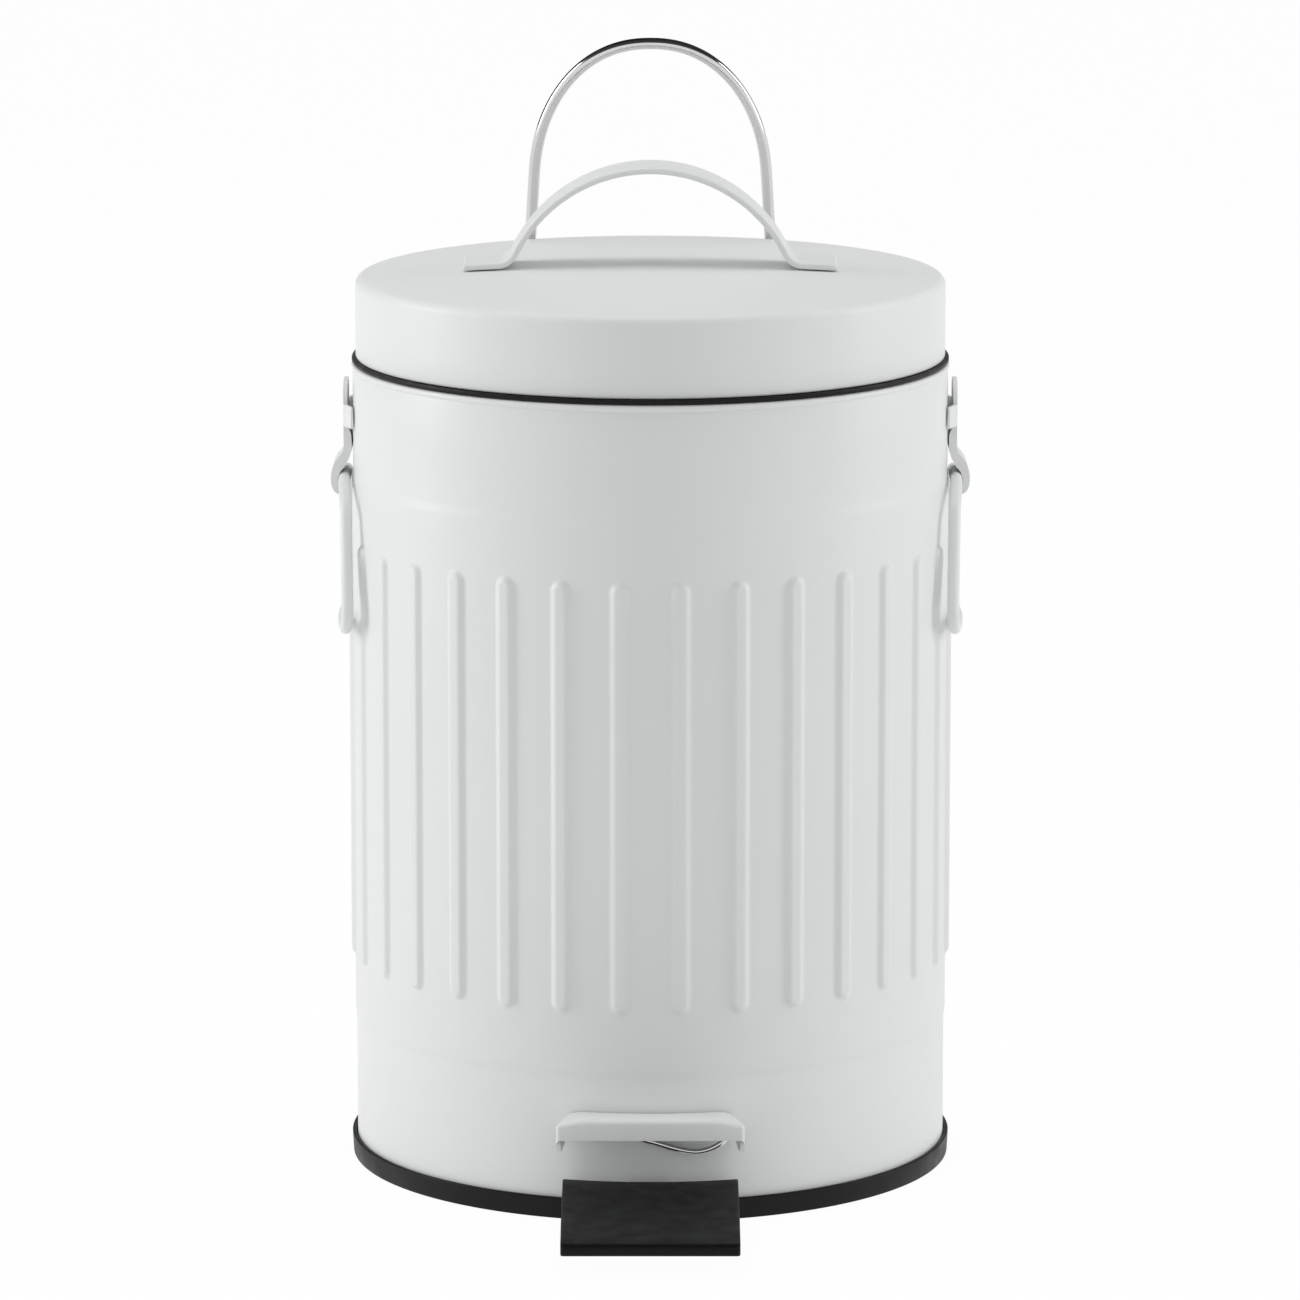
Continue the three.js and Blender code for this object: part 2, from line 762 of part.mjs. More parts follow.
function hingePin() {
  const shank = rodX(pinRadius, -pinEnd, pinEnd, pinY, pinZ);
  return join(shank, rodX(pinHead, -pinEnd, -pinEnd + pinHeadThick, pinY, pinZ));
}

function pinCap() {
  const start = eyeOuter + seat;
  const cup = rodX(pinHead, start, pinEnd + seat + capThick, pinY, pinZ);
  return cut(cup, rodX(pinHole, 0, pinEnd + seat, pinY, pinZ));
}

// A rivet set at the back of the bin, through a wall from inner to outer radius.
function rivet(x, z, inner, outer) {
  const profile = [
    point(0, inner - rivetHeadHigh),
    point(rivetCrown, inner - rivetHeadHigh),
    point(rivetHead, inner),
    point(rivetShank, inner),
    point(rivetShank, outer),
    point(rivetHead, outer),
    point(rivetCrown, outer + rivetHeadHigh),
    point(0, outer + rivetHeadHigh),
  ];
  const body = new THREE.LatheGeometry(profile, rivetSides);
  return solid(body.rotateZ(-rivetPlace(x, bodyRadius)).translate(0, 0, z));
}

// ---------------------------------------------------------------- carrying bail
// The bail stands in its own upright plane, with its pivot at the origin: two
// straight legs under an arch that is a little squarer than an ellipse.
function bailPoints() {
  const legLength = bailLength - bailArch;
  const arch = Array.from({ length: archSteps + 1 }, (_, i) => {
    const angle = (Math.PI * i) / archSteps;
    const across = Math.abs(Math.cos(angle)) ** (2 / archPower);
    const height = legLength + bailArch * Math.sin(angle) ** (2 / archPower);
    return new THREE.Vector3(-Math.sign(Math.cos(angle)) * across * bailHalf(height), 0, height);
  });
  const foot = bailHalf(0);
  return [new THREE.Vector3(-foot, 0, 0), ...arch, new THREE.Vector3(foot, 0, 0)];
}

function bailHalf(height) {
  return eyeMiddle - (bailTaper * height) / bailLength;
}

function carryBail() {
  const bent = wire(bailPoints(), bailWire, wireSides);
  const eyes = bothSheets(eyeMiddle, bailEyeWidth, (x0, x1) => rodX(bailEye, x0, x1, 0, 0));
  return cut(join(bent, ...eyes), rodX(pinHole, -bodyRadius, bodyRadius, 0, 0));
}

// ---------------------------------------------------------------- side brackets
// Drawn on the +X side.
function sideBracket() {
  const strapX = tabFace - tabSheet / 2;
  const neckX = tabFace - hookSheet / 2;
  const curl = arc(ringAxisOut, ringHeight, hookInner + hookSheet / 2, hookStart, hookEnd, 6);
  const shoulder = roundedLine(
    point(neckX, wingHigh),
    [
      { at: point(neckX, ringHeight + hookBend), trim: neckTrim },
      { at: point(neckX + shoulderOut, ringHeight + shoulderHigh), trim: shoulderTrim },
    ],
    curl[0]
  );
  const hook = sheetAlong([...shoulder.getPoints(3), ...curl.slice(1)], hookSheet);
  const tongue = sheetAlong([point(strapX, tabTop), point(strapX, wingLow)], tabSheet);
  const tongueHalf = tabWidth / 2;
  const neckHalf = tabNeck / 2;
  const cornerY = tongueHalf - tabCorner;
  const cornerZ = tabTop - tabCorner;
  const outline = new THREE.Shape([
    point(-tongueHalf, wingLow),
    point(tongueHalf, wingLow),
    ...arc(cornerY, cornerZ, tabCorner, 0, 90, 4),
    ...arc(-cornerY, cornerZ, tabCorner, 90, 180, 4),
  ]);
  const tongueStrip = alongY(tongue, -tongueHalf, tongueHalf);
  const strap = common(tongueStrip, alongX(outline, 0, 2 * bodyRadius));
  const neck = alongY(hook, -neckHalf, neckHalf);
  const wallAtWing = Math.sqrt(neckRadius ** 2 - wingHalf ** 2);
  const wingFace = wallAtWing + wingGap + tabSheet / 2;
  const wings = alongZ(
    sheetAlong(
      [
        point(wingFace, -wingHalf),
        point(strapX, -wingFlat),
        point(strapX, wingFlat),
        point(wingFace, wingHalf),
      ],
      tabSheet
    ),
    wingLow,
    wingHigh
  );
  return join(strap, neck, wings);
}

// A wire stirrup with its ends butted inside the hook, bowed a little towards the
// body. Its top wire is on the origin, and its foot leans out by the ring's lean.
function sideRing() {
  const sideTurn = Math.atan2(ringSideDrop, ringSideHalf - ringTopHalf);
  const legTurn = Math.atan2(ringDrop - ringSideDrop, ringFootHalf - ringSideHalf);
  const topTrim = ringTopBend * Math.tan(sideTurn / 2);
  const sideTrim = ringSideBend * Math.tan((legTurn - sideTurn) / 2);
  const footTrim = ringFootBend * Math.tan((Math.PI - legTurn) / 2);
  const halfGap = seat / 2;
  const corners = [
    { at: point(ringTopHalf, 0), trim: topTrim },
    { at: point(ringSideHalf, -ringSideDrop), trim: sideTrim },
    { at: point(ringFootHalf, -ringDrop), trim: footTrim },
    { at: point(0, -ringDrop), trim: ringFootHalf / 2 },
    { at: point(-ringFootHalf, -ringDrop), trim: footTrim },
    { at: point(-ringSideHalf, -ringSideDrop), trim: sideTrim },
    { at: point(-ringTopHalf, 0), trim: topTrim },
  ];
  const path = roundedLine(point(halfGap, 0), corners, point(-halfGap, 0));
  const points = path.getPoints(3).map((p) => {
    const bow = -ringBow * (p.x / ringFootHalf) ** 2;
    return new THREE.Vector3(bow, p.x, p.y).applyAxisAngle(new THREE.Vector3(0, -1, 0), ringLean);
  });
  return wire(points, ringWire, wireSides);
}

// ---------------------------------------------------------------- pedal
function padTopAt(y) {
  const share = (y - padFront) / (-padBackRadius - padFront);
  return padFrontTop + (padBackTop - padFrontTop) * share;
}

function padLowAt(y) {
  const share = (y - padFront) / (-padBackRadius - padFront);
  return padFrontLow + (padBackTop - padBackThick - padFrontLow) * share;
}

function strapTopAt(y) {
  return padTopAt(y) - padSkin - seat;
}

const strapEnd = padFront + padGrip;
const tailEnd = rodOut + leverEndTrim;

function pedalLever() {
  const half = leverWidth / 2;
  const under = leverSheet / 2;
  const strap = alongX(
    sheetAlong(
      [
        point(strapEnd, strapTopAt(strapEnd) - under),
        point(-padBackRadius, strapTopAt(-padBackRadius) - under),
        point(-padBackRadius + leverStep, leverLevel),
        point(pivotY + yokeDepth, leverLevel),
        point(leverDropStart, leverTail + leverDrop),
        point(tailEnd, leverTail),
      ],
      leverSheet
    ),
    -half,
    half
  );
  const side = new THREE.Shape([
    point(pivotY - leverEar, leverLevel),
    ...arc(pivotY, pivotZ, leverEar, 180, 360, eyeSteps),
    point(rodOut - flangeEndTrim, leverTail - leverFlange - under),
    point(rodOut - flangeEndTrim, leverTail),
    point(leverDropStart, leverTail + leverDrop),
    point(pivotY + yokeDepth, leverLevel),
  ]);
  const flanges = bothSides(half - yokeSheet, half, (x0, x1) => alongX(side, x0, x1));
  return cut(join(strap, ...flanges), rodX(pinHole, -leverWidth, leverWidth, pivotY, pivotZ));
}

function pedalPad() {
  const half = padWidth / 2;
  const reach = -padBackRadius;
  const wedge = alongX(
    [
      point(padFront + padCorner, padFrontLow),
      point(padFront, padFrontLow + padCorner),
      point(padFront, padTopAt(padFront) - 0.6),
      point(padFront + 0.8, padTopAt(padFront + 0.8)),
      point(reach + 6, padTopAt(reach + 6)),
      point(reach + 6, padLowAt(reach + 6)),
    ],
    -half,
    half
  );
  const backProfile = [
    point(0, 0),
    point(padBackRadius, 0),
    point(padBackRadius, 2 * padBackTop),
    point(0, 2 * padBackTop),
  ];
  const back = turned(backProfile, roundSides);
  const grip = leverWidth / 2 + 2 * padWall;
  const inside = [
    point(padFront + padWall, 0),
    point(padFront + padWall, padTopAt(padFront + padWall) - padSkin),
    point(reach - padWall, padTopAt(reach - padWall) - padSkin),
    point(reach - padWall, 0),
  ];
  const pockets = bothSides(grip, half - padWall, (x0, x1) => alongX(inside, x0, x1));
  const strapGap = alongX(
    [
      point(strapEnd - seat, strapTopAt(strapEnd - seat) + seat),
      point(reach + 8, strapTopAt(reach + 8) + seat),
      point(reach + 8, strapTopAt(reach + 8) - leverSheet - seat),
      point(strapEnd - seat, strapTopAt(strapEnd - seat) - leverSheet - seat),
    ],
    -leverWidth / 2 - seat,
    leverWidth / 2 + seat
  );
  return cut(wedge, back, ...pockets, strapGap);
}

const yokeInner = leverWidth / 2 + swing;
const yokeOuter = yokeInner + yokeSheet;
const yokeTop = panTop - panSheet - seat;

// A U-shaped yoke under the pan that carries the pedal's pin.
function pivotYoke() {
  const low = pivotZ - yokeDepth / 2;
  const outside = box(-yokeOuter, yokeOuter, pivotY - yokeDepth, pivotY + yokeDepth, low, yokeTop);
  const inside = box(
    -yokeInner, yokeInner, pivotY - 2 * yokeDepth, pivotY + 2 * yokeDepth, 0, yokeTop - yokeSheet
  );
  const cheek = new THREE.Shape([
    ...arc(pivotY, pivotZ, yokeDepth / 2, 180, 360, eyeSteps),
    point(pivotY + yokeDepth / 2, yokeTop),
    point(pivotY - yokeDepth / 2, yokeTop),
  ]);
  const trimmed = common(outside, alongX(cheek, -2 * yokeOuter, 2 * yokeOuter));
  return cut(trimmed, inside, rodX(pinHole, -2 * yokeOuter, 2 * yokeOuter, pivotY, pivotZ));
}

function leverPin() {
  const inner = yokeOuter + seat;
  const outer = inner + pinHeadThick;
  const heads = bothSides(inner, outer, (x0, x1) => rodX(pinHead, x0, x1, pivotY, pivotZ));
  return join(rodX(pinRadius, -outer, outer, pivotY, pivotZ), ...heads);
}

// ---------------------------------------------------------------- push rod
function pushRod() {
  const low = leverTail + leverSheet / 2 + seat;
  const high = fingerTipZ - noseRadius - seat;
  const profile = [
    point(0, low),
    point(rodFoot * 0.7, low),
    point(rodFoot, low + 0.5),
    point(rodFoot, low + 1.6),
    point(rodRadius, low + 2.2),
    point(rodRadius, high - 2.4),
    point(rodHead, high - 1.8),
    point(rodHead, high - 0.3),
    point(rodHead - 0.3, high),
    point(0, high),
  ];
  return turned(profile, pinSides);
}

// A weld plate on the inside of the wall with a lug that the rod slides in.
function rodGuide() {
  const outer = bandInner - seat;
  const inner = outer - sheet;
  const plate = sector(
    turnedRing(
      [
        point(outer, guideLow),
        point(outer, guideHigh),
        point(inner, guideHigh),
        point(inner, guideLow),
      ],
      roundSides
    ),
    guideHalf,
    1
  );
  const lugRadius = rodRadius + runningFit + sheet;
  const lug = join(
    rodZ(lugRadius, guideLow, guideHigh, 0, rodOut),
    box(-lugRadius, lugRadius, rodOut, inner + sheet / 2, guideLow, guideHigh)
  );
  return cut(join(plate, lug), rodZ(rodRadius + runningFit, 0, bodyTop, 0, rodOut));
}

// ---------------------------------------------------------------- pedal hood
function pedalHood() {
  const againstBody = neckRadius + seat;
  const clearOfBody = turned(
    [point(0, 0), point(againstBody, 0), point(againstBody, bodyTop), point(0, bodyTop)],
    roundSides
  );
  const face = hoodFront - hoodSheet / 2;
  const level = hoodTop - hoodSheet / 2;
  const bend = [{ at: point(-face, level), trim: hoodBend }];
  const section = roundedLine(point(-neckInner / 2, level), bend, point(-face, hoodLow));
  const awning = alongX(sheetAlong(section.getPoints(4), hoodSheet), -hoodHalf, hoodHalf);
  const reliefBack = hoodFront - 2 * hoodSheet;
  const reliefs = bothSides(hoodShelfHalf, 2 * hoodHalf, (x0, x1) =>
    box(x0, x1, -reliefBack, 0, 0, 2 * hoodTop)
  );
  const nearX = hoodShelfHalf + hoodSheet / 2;
  const nearY = -Math.sqrt(neckRadius ** 2 - hoodShelfHalf ** 2) - seat;
  const farX = hoodHalf - hoodSheet / 2;
  const farY = hoodSheet - hoodFront;
  const run = Math.hypot(farX - nearX, farY - nearY);
  const sideOutline = [
    point(0, hoodLow + sideEdgeBack),
    point(run - hoodSheet, hoodTip),
    point(run, hoodTip + sideEdgeTip),
    point(run, hoodTop - hoodBend),
    point(0, hoodTop - hoodSheet),
  ];
  const sides = [-1, 1].map((side) => {
    const wall = slab(sideOutline, hoodSheet).translate(0, 0, -hoodSheet / 2).rotateX(Math.PI / 2);
    const heading = Math.atan2(farY - nearY, side * (farX - nearX));
    return solid(wall.rotateZ(heading).translate(side * nearX, nearY, 0));
  });
  return join(cut(awning, clearOfBody, ...reliefs), ...sides);
}

// A bent wire under the hood, seen below its edge right of the middle.
function hoodBow() {
  const under = hoodTop - hoodSheet - seat - bowWire;
  const stops = [[bowEnds[0], under], ...bowLine, [bowEnds[1], under]];
  const bow = new THREE.CatmullRomCurve3(stops.map(([x, z]) => new THREE.Vector3(x, -bowOut, z)));
  return wire(bow.getPoints(16), bowWire, thinWireSides);
}

// ---------------------------------------------------------------- bucket
const bucketSeat = rimTop + seat;
const lugX = bucketTopRadius - bucketWall + 0.2;
const bucketBailZ = bucketSeat + bucketFlangeThick + bucketWire + seat + 0.2;

function innerBucket() {
  const top = bucketSeat + bucketFlangeThick;
  const bucket = turned(
    [
      point(0, bucketFoot),
      point(bucketFootRadius - bucketCorner, bucketFoot),
      point(bucketFootRadius, bucketFoot + bucketCorner),
      point(bucketTopRadius, bucketSeat - 1),
      point(bucketTopRadius, bucketSeat),
      point(bucketFlange, bucketSeat),
      point(bucketFlange, top),
      point(bucketTopRadius - bucketWall, top),
      point(bucketFootRadius - bucketWall, bucketFoot + bucketCorner),
      point(bucketFootRadius - bucketCorner, bucketFoot + bucketWall),
      point(0, bucketFoot + bucketWall),
    ],
    hiddenSides
  );
  const lugs = bothSides(lugX, lugX + lugSheet, (x0, x1) =>
    box(x0, x1, -lugHalf, lugHalf, top - lugRoot, top + lugHigh)
  );
  const bore = rodX(bucketWire + runningFit, -bodyRadius, bodyRadius, 0, bucketBailZ);
  return cut(join(bucket, ...lugs), bore);
}

// Half a hoop of wire that lies on the bucket's flange, its ends turned in
// through the lugs. Its pivot is the origin.
function bucketBail() {
  const bend = bailBend;
  const end = lugX - bailEndTrim;
  const path = new THREE.Path();
  path.moveTo(-end, 0);
  path.lineTo(bend - bucketBailRadius, 0);
  path.quadraticCurveTo(-bucketBailRadius, 0, -bucketBailRadius, -bend);
  const start = Math.asin(bend / bucketBailRadius);
  path.absarc(0, 0, bucketBailRadius, Math.PI + start, 2 * Math.PI - start, false);
  path.quadraticCurveTo(bucketBailRadius, 0, bucketBailRadius - bend, 0);
  path.lineTo(end, 0);
  const points = path.getPoints(8).map((p) => new THREE.Vector3(p.x, p.y, 0));
  return wire(points, bucketWire, thinWireSides);
}

// ---------------------------------------------------------------- assembly
const bin = new THREE.Group();

bin.add(piece('body_shell', bodyShell(), whiteCoat));
bin.add(piece('base_ring', baseRing(), blackPlastic));
bin.add(piece('rim_ring', rimRing(), blackPlastic));
bin.add(piece('floor_pan', floorPan(), zincSteel));
bin.add(piece('pedal_hood', pedalHood(), whiteCoat));
bin.add(piece('hood_bow', hoodBow(), chrome));

bin.add(piece('pivot_yoke', pivotYoke(), zincSteel));
bin.add(piece('lever_pin', leverPin(), zincSteel));
bin.add(piece('pedal_lever', pedalLever(), zincSteel));
bin.add(piece('pedal_pad', pedalPad(), padPlastic));

const rod = piece('push_rod', pushRod(), zincSteel);
rod.position.set(0, rodOut, 0);
bin.add(rod);
bin.add(piece('rod_guide', rodGuide(), zincSteel));

bin.add(piece('hinge_bracket', hingeBracket(), whiteCoat));
bin.add(piece('hinge_pin', hingePin(), chrome));
bin.add(piece('pin_cap', pinCap(), chrome));
bin.add(piece('lid_shell', lidShell(), whiteCoat));
bin.add(piece('lid_handle', lidHandle(), whiteCoat));
bin.add(piece('lid_hinge', lidHinge(), zincSteel));

const bail = piece('carry_bail', carryBail(), chrome);
bail.position.set(0, pinY, pinZ);
bail.rotation.x = bailLean;
bin.add(bail);

const bracketGrip = [neckInner - seat, neckRadius + hingeSheet + 2 * seat];
const lidGrip = [lidRadius - sheet - seat, leafOuter + seat];
for (const [side, word] of [[-1, 'left'], [1, 'right']]) {
  const turn = side > 0 ? 0 : Math.PI;

  const bracket = piece(`side_bracket_${word}`, sideBracket(), whiteCoat);
  bracket.rotation.z = turn;
  bin.add(bracket);

  const ring = piece(`side_ring_${word}`, sideRing(), whiteCoat);
  ring.position.set(side * ringAxisOut, 0, ringHeight);
  ring.rotation.z = turn;
  bin.add(ring);

  const bracketRivet = rivet(side * bracketRivetX, bracketRivetZ, ...bracketGrip);
  bin.add(piece(`bracket_rivet_${word}`, bracketRivet, zincSteel));
  bin.add(piece(`lid_rivet_${word}`, rivet(side * lidRivetX, lidRivetZ, ...lidGrip), zincSteel));
}

bin.add(piece('inner_bucket', innerBucket(), bucketPlastic));
const handle = piece('bucket_bail', bucketBail(), zincSteel);
handle.position.set(0, 0, bucketBailZ);
bin.add(handle);

// The origin is on the floor, midway from the pad's front to the bail's eyes.
const object = new THREE.Group();
bin.position.y = -(padFront + pinY + bailEye) / 2;
object.add(bin);

export default object;
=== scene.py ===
import json
import math

import bmesh
import bpy
from mathutils import Matrix, Vector


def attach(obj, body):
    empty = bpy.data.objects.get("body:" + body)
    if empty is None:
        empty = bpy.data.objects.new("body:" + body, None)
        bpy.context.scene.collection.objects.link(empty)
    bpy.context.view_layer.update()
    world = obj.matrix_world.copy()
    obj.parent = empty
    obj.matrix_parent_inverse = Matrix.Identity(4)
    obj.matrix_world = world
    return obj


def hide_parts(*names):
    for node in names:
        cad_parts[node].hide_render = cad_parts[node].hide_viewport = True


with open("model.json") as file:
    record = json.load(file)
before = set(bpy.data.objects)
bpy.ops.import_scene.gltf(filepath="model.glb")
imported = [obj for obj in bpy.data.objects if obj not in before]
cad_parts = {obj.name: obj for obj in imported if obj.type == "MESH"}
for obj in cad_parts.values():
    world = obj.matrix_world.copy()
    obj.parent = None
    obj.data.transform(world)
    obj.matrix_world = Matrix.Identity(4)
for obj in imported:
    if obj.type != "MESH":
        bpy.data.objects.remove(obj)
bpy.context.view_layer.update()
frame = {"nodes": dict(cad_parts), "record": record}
nodes = frame["nodes"]
scene = bpy.context.scene
scene.view_settings.view_transform = "Standard"

# ------------------------------------------------------------------ the stage
# A long lens from a little above the bin, a white sweep, a soft box at each side
# that leaves the front in its own soft shade, and a pale room all round.
body_axis = 0.0261  # the body's axis is this far behind the frame's origin
camera = bpy.data.objects.new("camera", bpy.data.cameras.new("camera"))
camera.data.sensor_width = 36
camera.data.lens = 214.108
camera.data.clip_end = 60
camera.location = (-0.0001, body_axis - 2.17596, 0.56243)
camera.rotation_euler = (math.radians(90 - 10.8288), 0, 0)
scene.collection.objects.link(camera)
scene.camera = camera


def soft_box(name, place, width, height, power):
    lamp = bpy.data.lights.new(name, "AREA")
    lamp.shape = "RECTANGLE"
    lamp.size = width
    lamp.size_y = height
    lamp.energy = power
    box = bpy.data.objects.new(name, lamp)
    box.location = place
    aim = Vector((0, body_axis, 0.13)) - Vector(place)
    box.rotation_euler = aim.to_track_quat("-Z", "Y").to_euler()
    scene.collection.objects.link(box)
    return box


soft_box("left_soft_box", (-1.55, body_axis + 0.05, 0.62), 0.5, 1.2, 9.6)
soft_box("right_soft_box", (1.55, body_axis + 0.05, 0.62), 0.5, 1.2, 7.3)
overhead = soft_box("top_soft_box", (0, body_axis + 0.1, 2.2), 1.0, 1.0, 10.6)
overhead.visible_glossy = False

world = bpy.data.worlds.new("room")
scene.world = world
world.use_nodes = True
room = world.node_tree
room.nodes.clear()
room_out = room.nodes.new("ShaderNodeOutputWorld")
room_light = room.nodes.new("ShaderNodeBackground")
room_light.inputs["Color"].default_value = (1, 1, 1, 1)
room_light.inputs["Strength"].default_value = 0.58
room_seen = room.nodes.new("ShaderNodeBackground")
room_seen.inputs["Color"].default_value = (1, 1, 1, 1)
room_seen.inputs["Strength"].default_value = 1.0
room_shine = room.nodes.new("ShaderNodeBackground")
room_shine.inputs["Strength"].default_value = 1.0
ray = room.nodes.new("ShaderNodeLightPath")
straight = room.nodes.new("ShaderNodeMath")
straight.operation = "MAXIMUM"
shine_mix = room.nodes.new("ShaderNodeMixShader")
seen_mix = room.nodes.new("ShaderNodeMixShader")
heading = room.nodes.new("ShaderNodeTexCoord")
split = room.nodes.new("ShaderNodeSeparateXYZ")
around = room.nodes.new("ShaderNodeMath")
around.operation = "ARCTAN2"
around_share = room.nodes.new("ShaderNodeMapRange")
around_share.inputs["From Min"].default_value = -math.pi
around_share.inputs["From Max"].default_value = math.pi
walls = room.nodes.new("ShaderNodeValToRGB")
ceiling = room.nodes.new("ShaderNodeValToRGB")
shade = room.nodes.new("ShaderNodeMix")
shade.data_type = "RGBA"
shade.blend_type = "MULTIPLY"
shade.inputs[0].default_value = 1
# Heading from the back (0), over the left (0.25), the front (0.5) and the right
# (0.75), to the back again, with the dark of the room left of the camera.
wall_tones = [
    (0.00, 1.0), (0.29, 1.0), (0.33, 0.03), (0.43, 0.03), (0.47, 0.55), (0.56, 0.5), (0.66, 0.7),
    (0.74, 0.8), (0.78, 0.3), (0.80, 0.3), (0.84, 1.0), (1.00, 1.0),
]
ceiling_tones = [(0.0, 1.0), (0.30, 1.0), (0.44, 0.06), (1.0, 0.04)]
for ramp, tones in ((walls, wall_tones), (ceiling, ceiling_tones)):
    stops = ramp.color_ramp.elements
    while len(stops) < len(tones):
        stops.new(0.5)
    for stop, (place, tone) in zip(stops, tones):
        stop.position = place
        stop.color = (tone, tone, tone, 1)
room.links.new(heading.outputs["Generated"], split.inputs[0])
room.links.new(split.outputs["X"], around.inputs[0])
room.links.new(split.outputs["Y"], around.inputs[1])
room.links.new(around.outputs[0], around_share.inputs["Value"])
room.links.new(around_share.outputs["Result"], walls.inputs["Fac"])
room.links.new(split.outputs["Z"], ceiling.inputs["Fac"])
room.links.new(walls.outputs["Color"], shade.inputs[6])
room.links.new(ceiling.outputs["Color"], shade.inputs[7])
room.links.new(shade.outputs[2], room_shine.inputs["Color"])
room.links.new(ray.outputs["Is Camera Ray"], straight.inputs[0])
room.links.new(ray.outputs["Is Transmission Ray"], straight.inputs[1])
room.links.new(ray.outputs["Is Glossy Ray"], shine_mix.inputs["Fac"])
room.links.new(room_light.outputs[0], shine_mix.inputs[1])
room.links.new(room_shine.outputs[0], shine_mix.inputs[2])
room.links.new(straight.outputs[0], seen_mix.inputs["Fac"])
room.links.new(shine_mix.outputs[0], seen_mix.inputs[1])
room.links.new(room_seen.outputs[0], seen_mix.inputs[2])
room.links.new(seen_mix.outputs[0], room_out.inputs["Surface"])

floor_mesh = bmesh.new()
bmesh.ops.create_grid(floor_mesh, x_segments=1, y_segments=1, size=12)
floor_data = bpy.data.meshes.new("white_floor")
floor_mesh.to_mesh(floor_data)
floor_mesh.free()
floor = bpy.data.objects.new("white_floor", floor_data)
scene.collection.objects.link(floor)

paper = bpy.data.materials.new("white_paper")
paper.use_nodes = True
sweep = paper.node_tree
sweep.nodes.clear()
paper_out = sweep.nodes.new("ShaderNodeOutputMaterial")
paper_matt = sweep.nodes.new("ShaderNodeBsdfDiffuse")
paper_matt.inputs["Color"].default_value = (0.86, 0.86, 0.86, 1)
paper_glow = sweep.nodes.new("ShaderNodeEmission")
paper_glow.inputs["Strength"].default_value = 1.0
paper_ray = sweep.nodes.new("ShaderNodeLightPath")
paper_seen = sweep.nodes.new("ShaderNodeMath")
paper_seen.operation = "MAXIMUM"
paper_share = sweep.nodes.new("ShaderNodeMath")
paper_share.operation = "MULTIPLY"
paper_share.inputs[1].default_value = 0.97
paper_mix = sweep.nodes.new("ShaderNodeMixShader")
sweep.links.new(paper_ray.outputs["Is Camera Ray"], paper_seen.inputs[0])
sweep.links.new(paper_ray.outputs["Is Glossy Ray"], paper_seen.inputs[1])
sweep.links.new(paper_seen.outputs[0], paper_share.inputs[0])
sweep.links.new(paper_share.outputs[0], paper_mix.inputs["Fac"])
sweep.links.new(paper_matt.outputs[0], paper_mix.inputs[1])
sweep.links.new(paper_glow.outputs[0], paper_mix.inputs[2])
sweep.links.new(paper_mix.outputs[0], paper_out.inputs["Surface"])
floor_data.materials.append(paper)

# ------------------------------------------------------------------- the body
# Thin sheet steel rolled to a tube, pressed with upright ribs between two shallow
# swages, its top edge rolled to a bead, then powder-coated white inside and out.


def dressed(name, colour, roughness, metallic=0.0):
    """A new material: its node tree and its main shader, with the flat values set."""
    material = bpy.data.materials.new(name)
    material.use_nodes = True
    tree = material.node_tree
    main = tree.nodes["Principled BSDF"]
    main.inputs["Base Color"].default_value = (*colour, 1)
    main.inputs["Roughness"].default_value = roughness
    main.inputs["Metallic"].default_value = metallic
    return material, tree, main


def grain(tree, size, detail=2.0):
    """Noise with features of about this size in metres, in the piece's own place."""
    place = tree.nodes.new("ShaderNodeTexCoord")
    noise = tree.nodes.new("ShaderNodeTexNoise")
    noise.inputs["Scale"].default_value = 1 / size
    noise.inputs["Detail"].default_value = detail
    tree.links.new(place.outputs["Object"], noise.inputs["Vector"])
    return noise.outputs["Fac"]


def spread(tree, source, low, high, socket):
    """The source's middle range drives a socket from low to high."""
    span = tree.nodes.new("ShaderNodeMapRange")
    span.inputs["From Min"].default_value = 0.3
    span.inputs["From Max"].default_value = 0.7
    span.inputs["To Min"].default_value = low
    span.inputs["To Max"].default_value = high
    tree.links.new(source, span.inputs["Value"])
    tree.links.new(span.outputs["Result"], socket)


def tint(tree, source, dark, light, socket):
    """The source blends two colours."""
    blend = tree.nodes.new("ShaderNodeMix")
    blend.data_type = "RGBA"
    blend.inputs[6].default_value = (*dark, 1)
    blend.inputs[7].default_value = (*light, 1)
    tree.links.new(source, blend.inputs[0])
    tree.links.new(blend.outputs[2], socket)


def relief(tree, source, height, strength, main):
    """The source raises the surface by about this height."""
    bump = tree.nodes.new("ShaderNodeBump")
    bump.inputs["Strength"].default_value = strength
    bump.inputs["Distance"].default_value = height
    tree.links.new(source, bump.inputs["Height"])
    tree.links.new(bump.outputs["Normal"], main.inputs["Normal"])


# Powder coat: white and satin, with the faint orange peel that it bakes to.
white_coat, tree, main = dressed("white_powder_coat", (0.80, 0.815, 0.808), 0.42)
main.inputs["IOR"].default_value = 1.48
tint(tree, grain(tree, 0.06), (0.785, 0.802, 0.795), (0.812, 0.826, 0.82), main.inputs["Base Color"])
spread(tree, grain(tree, 0.02), 0.38, 0.47, main.inputs["Roughness"])
relief(tree, grain(tree, 0.0013, 1.5), 0.00002, 0.35, main)

to_frame = Matrix.Translation((0, body_axis, 0)) @ Matrix.Scale(0.001, 4)


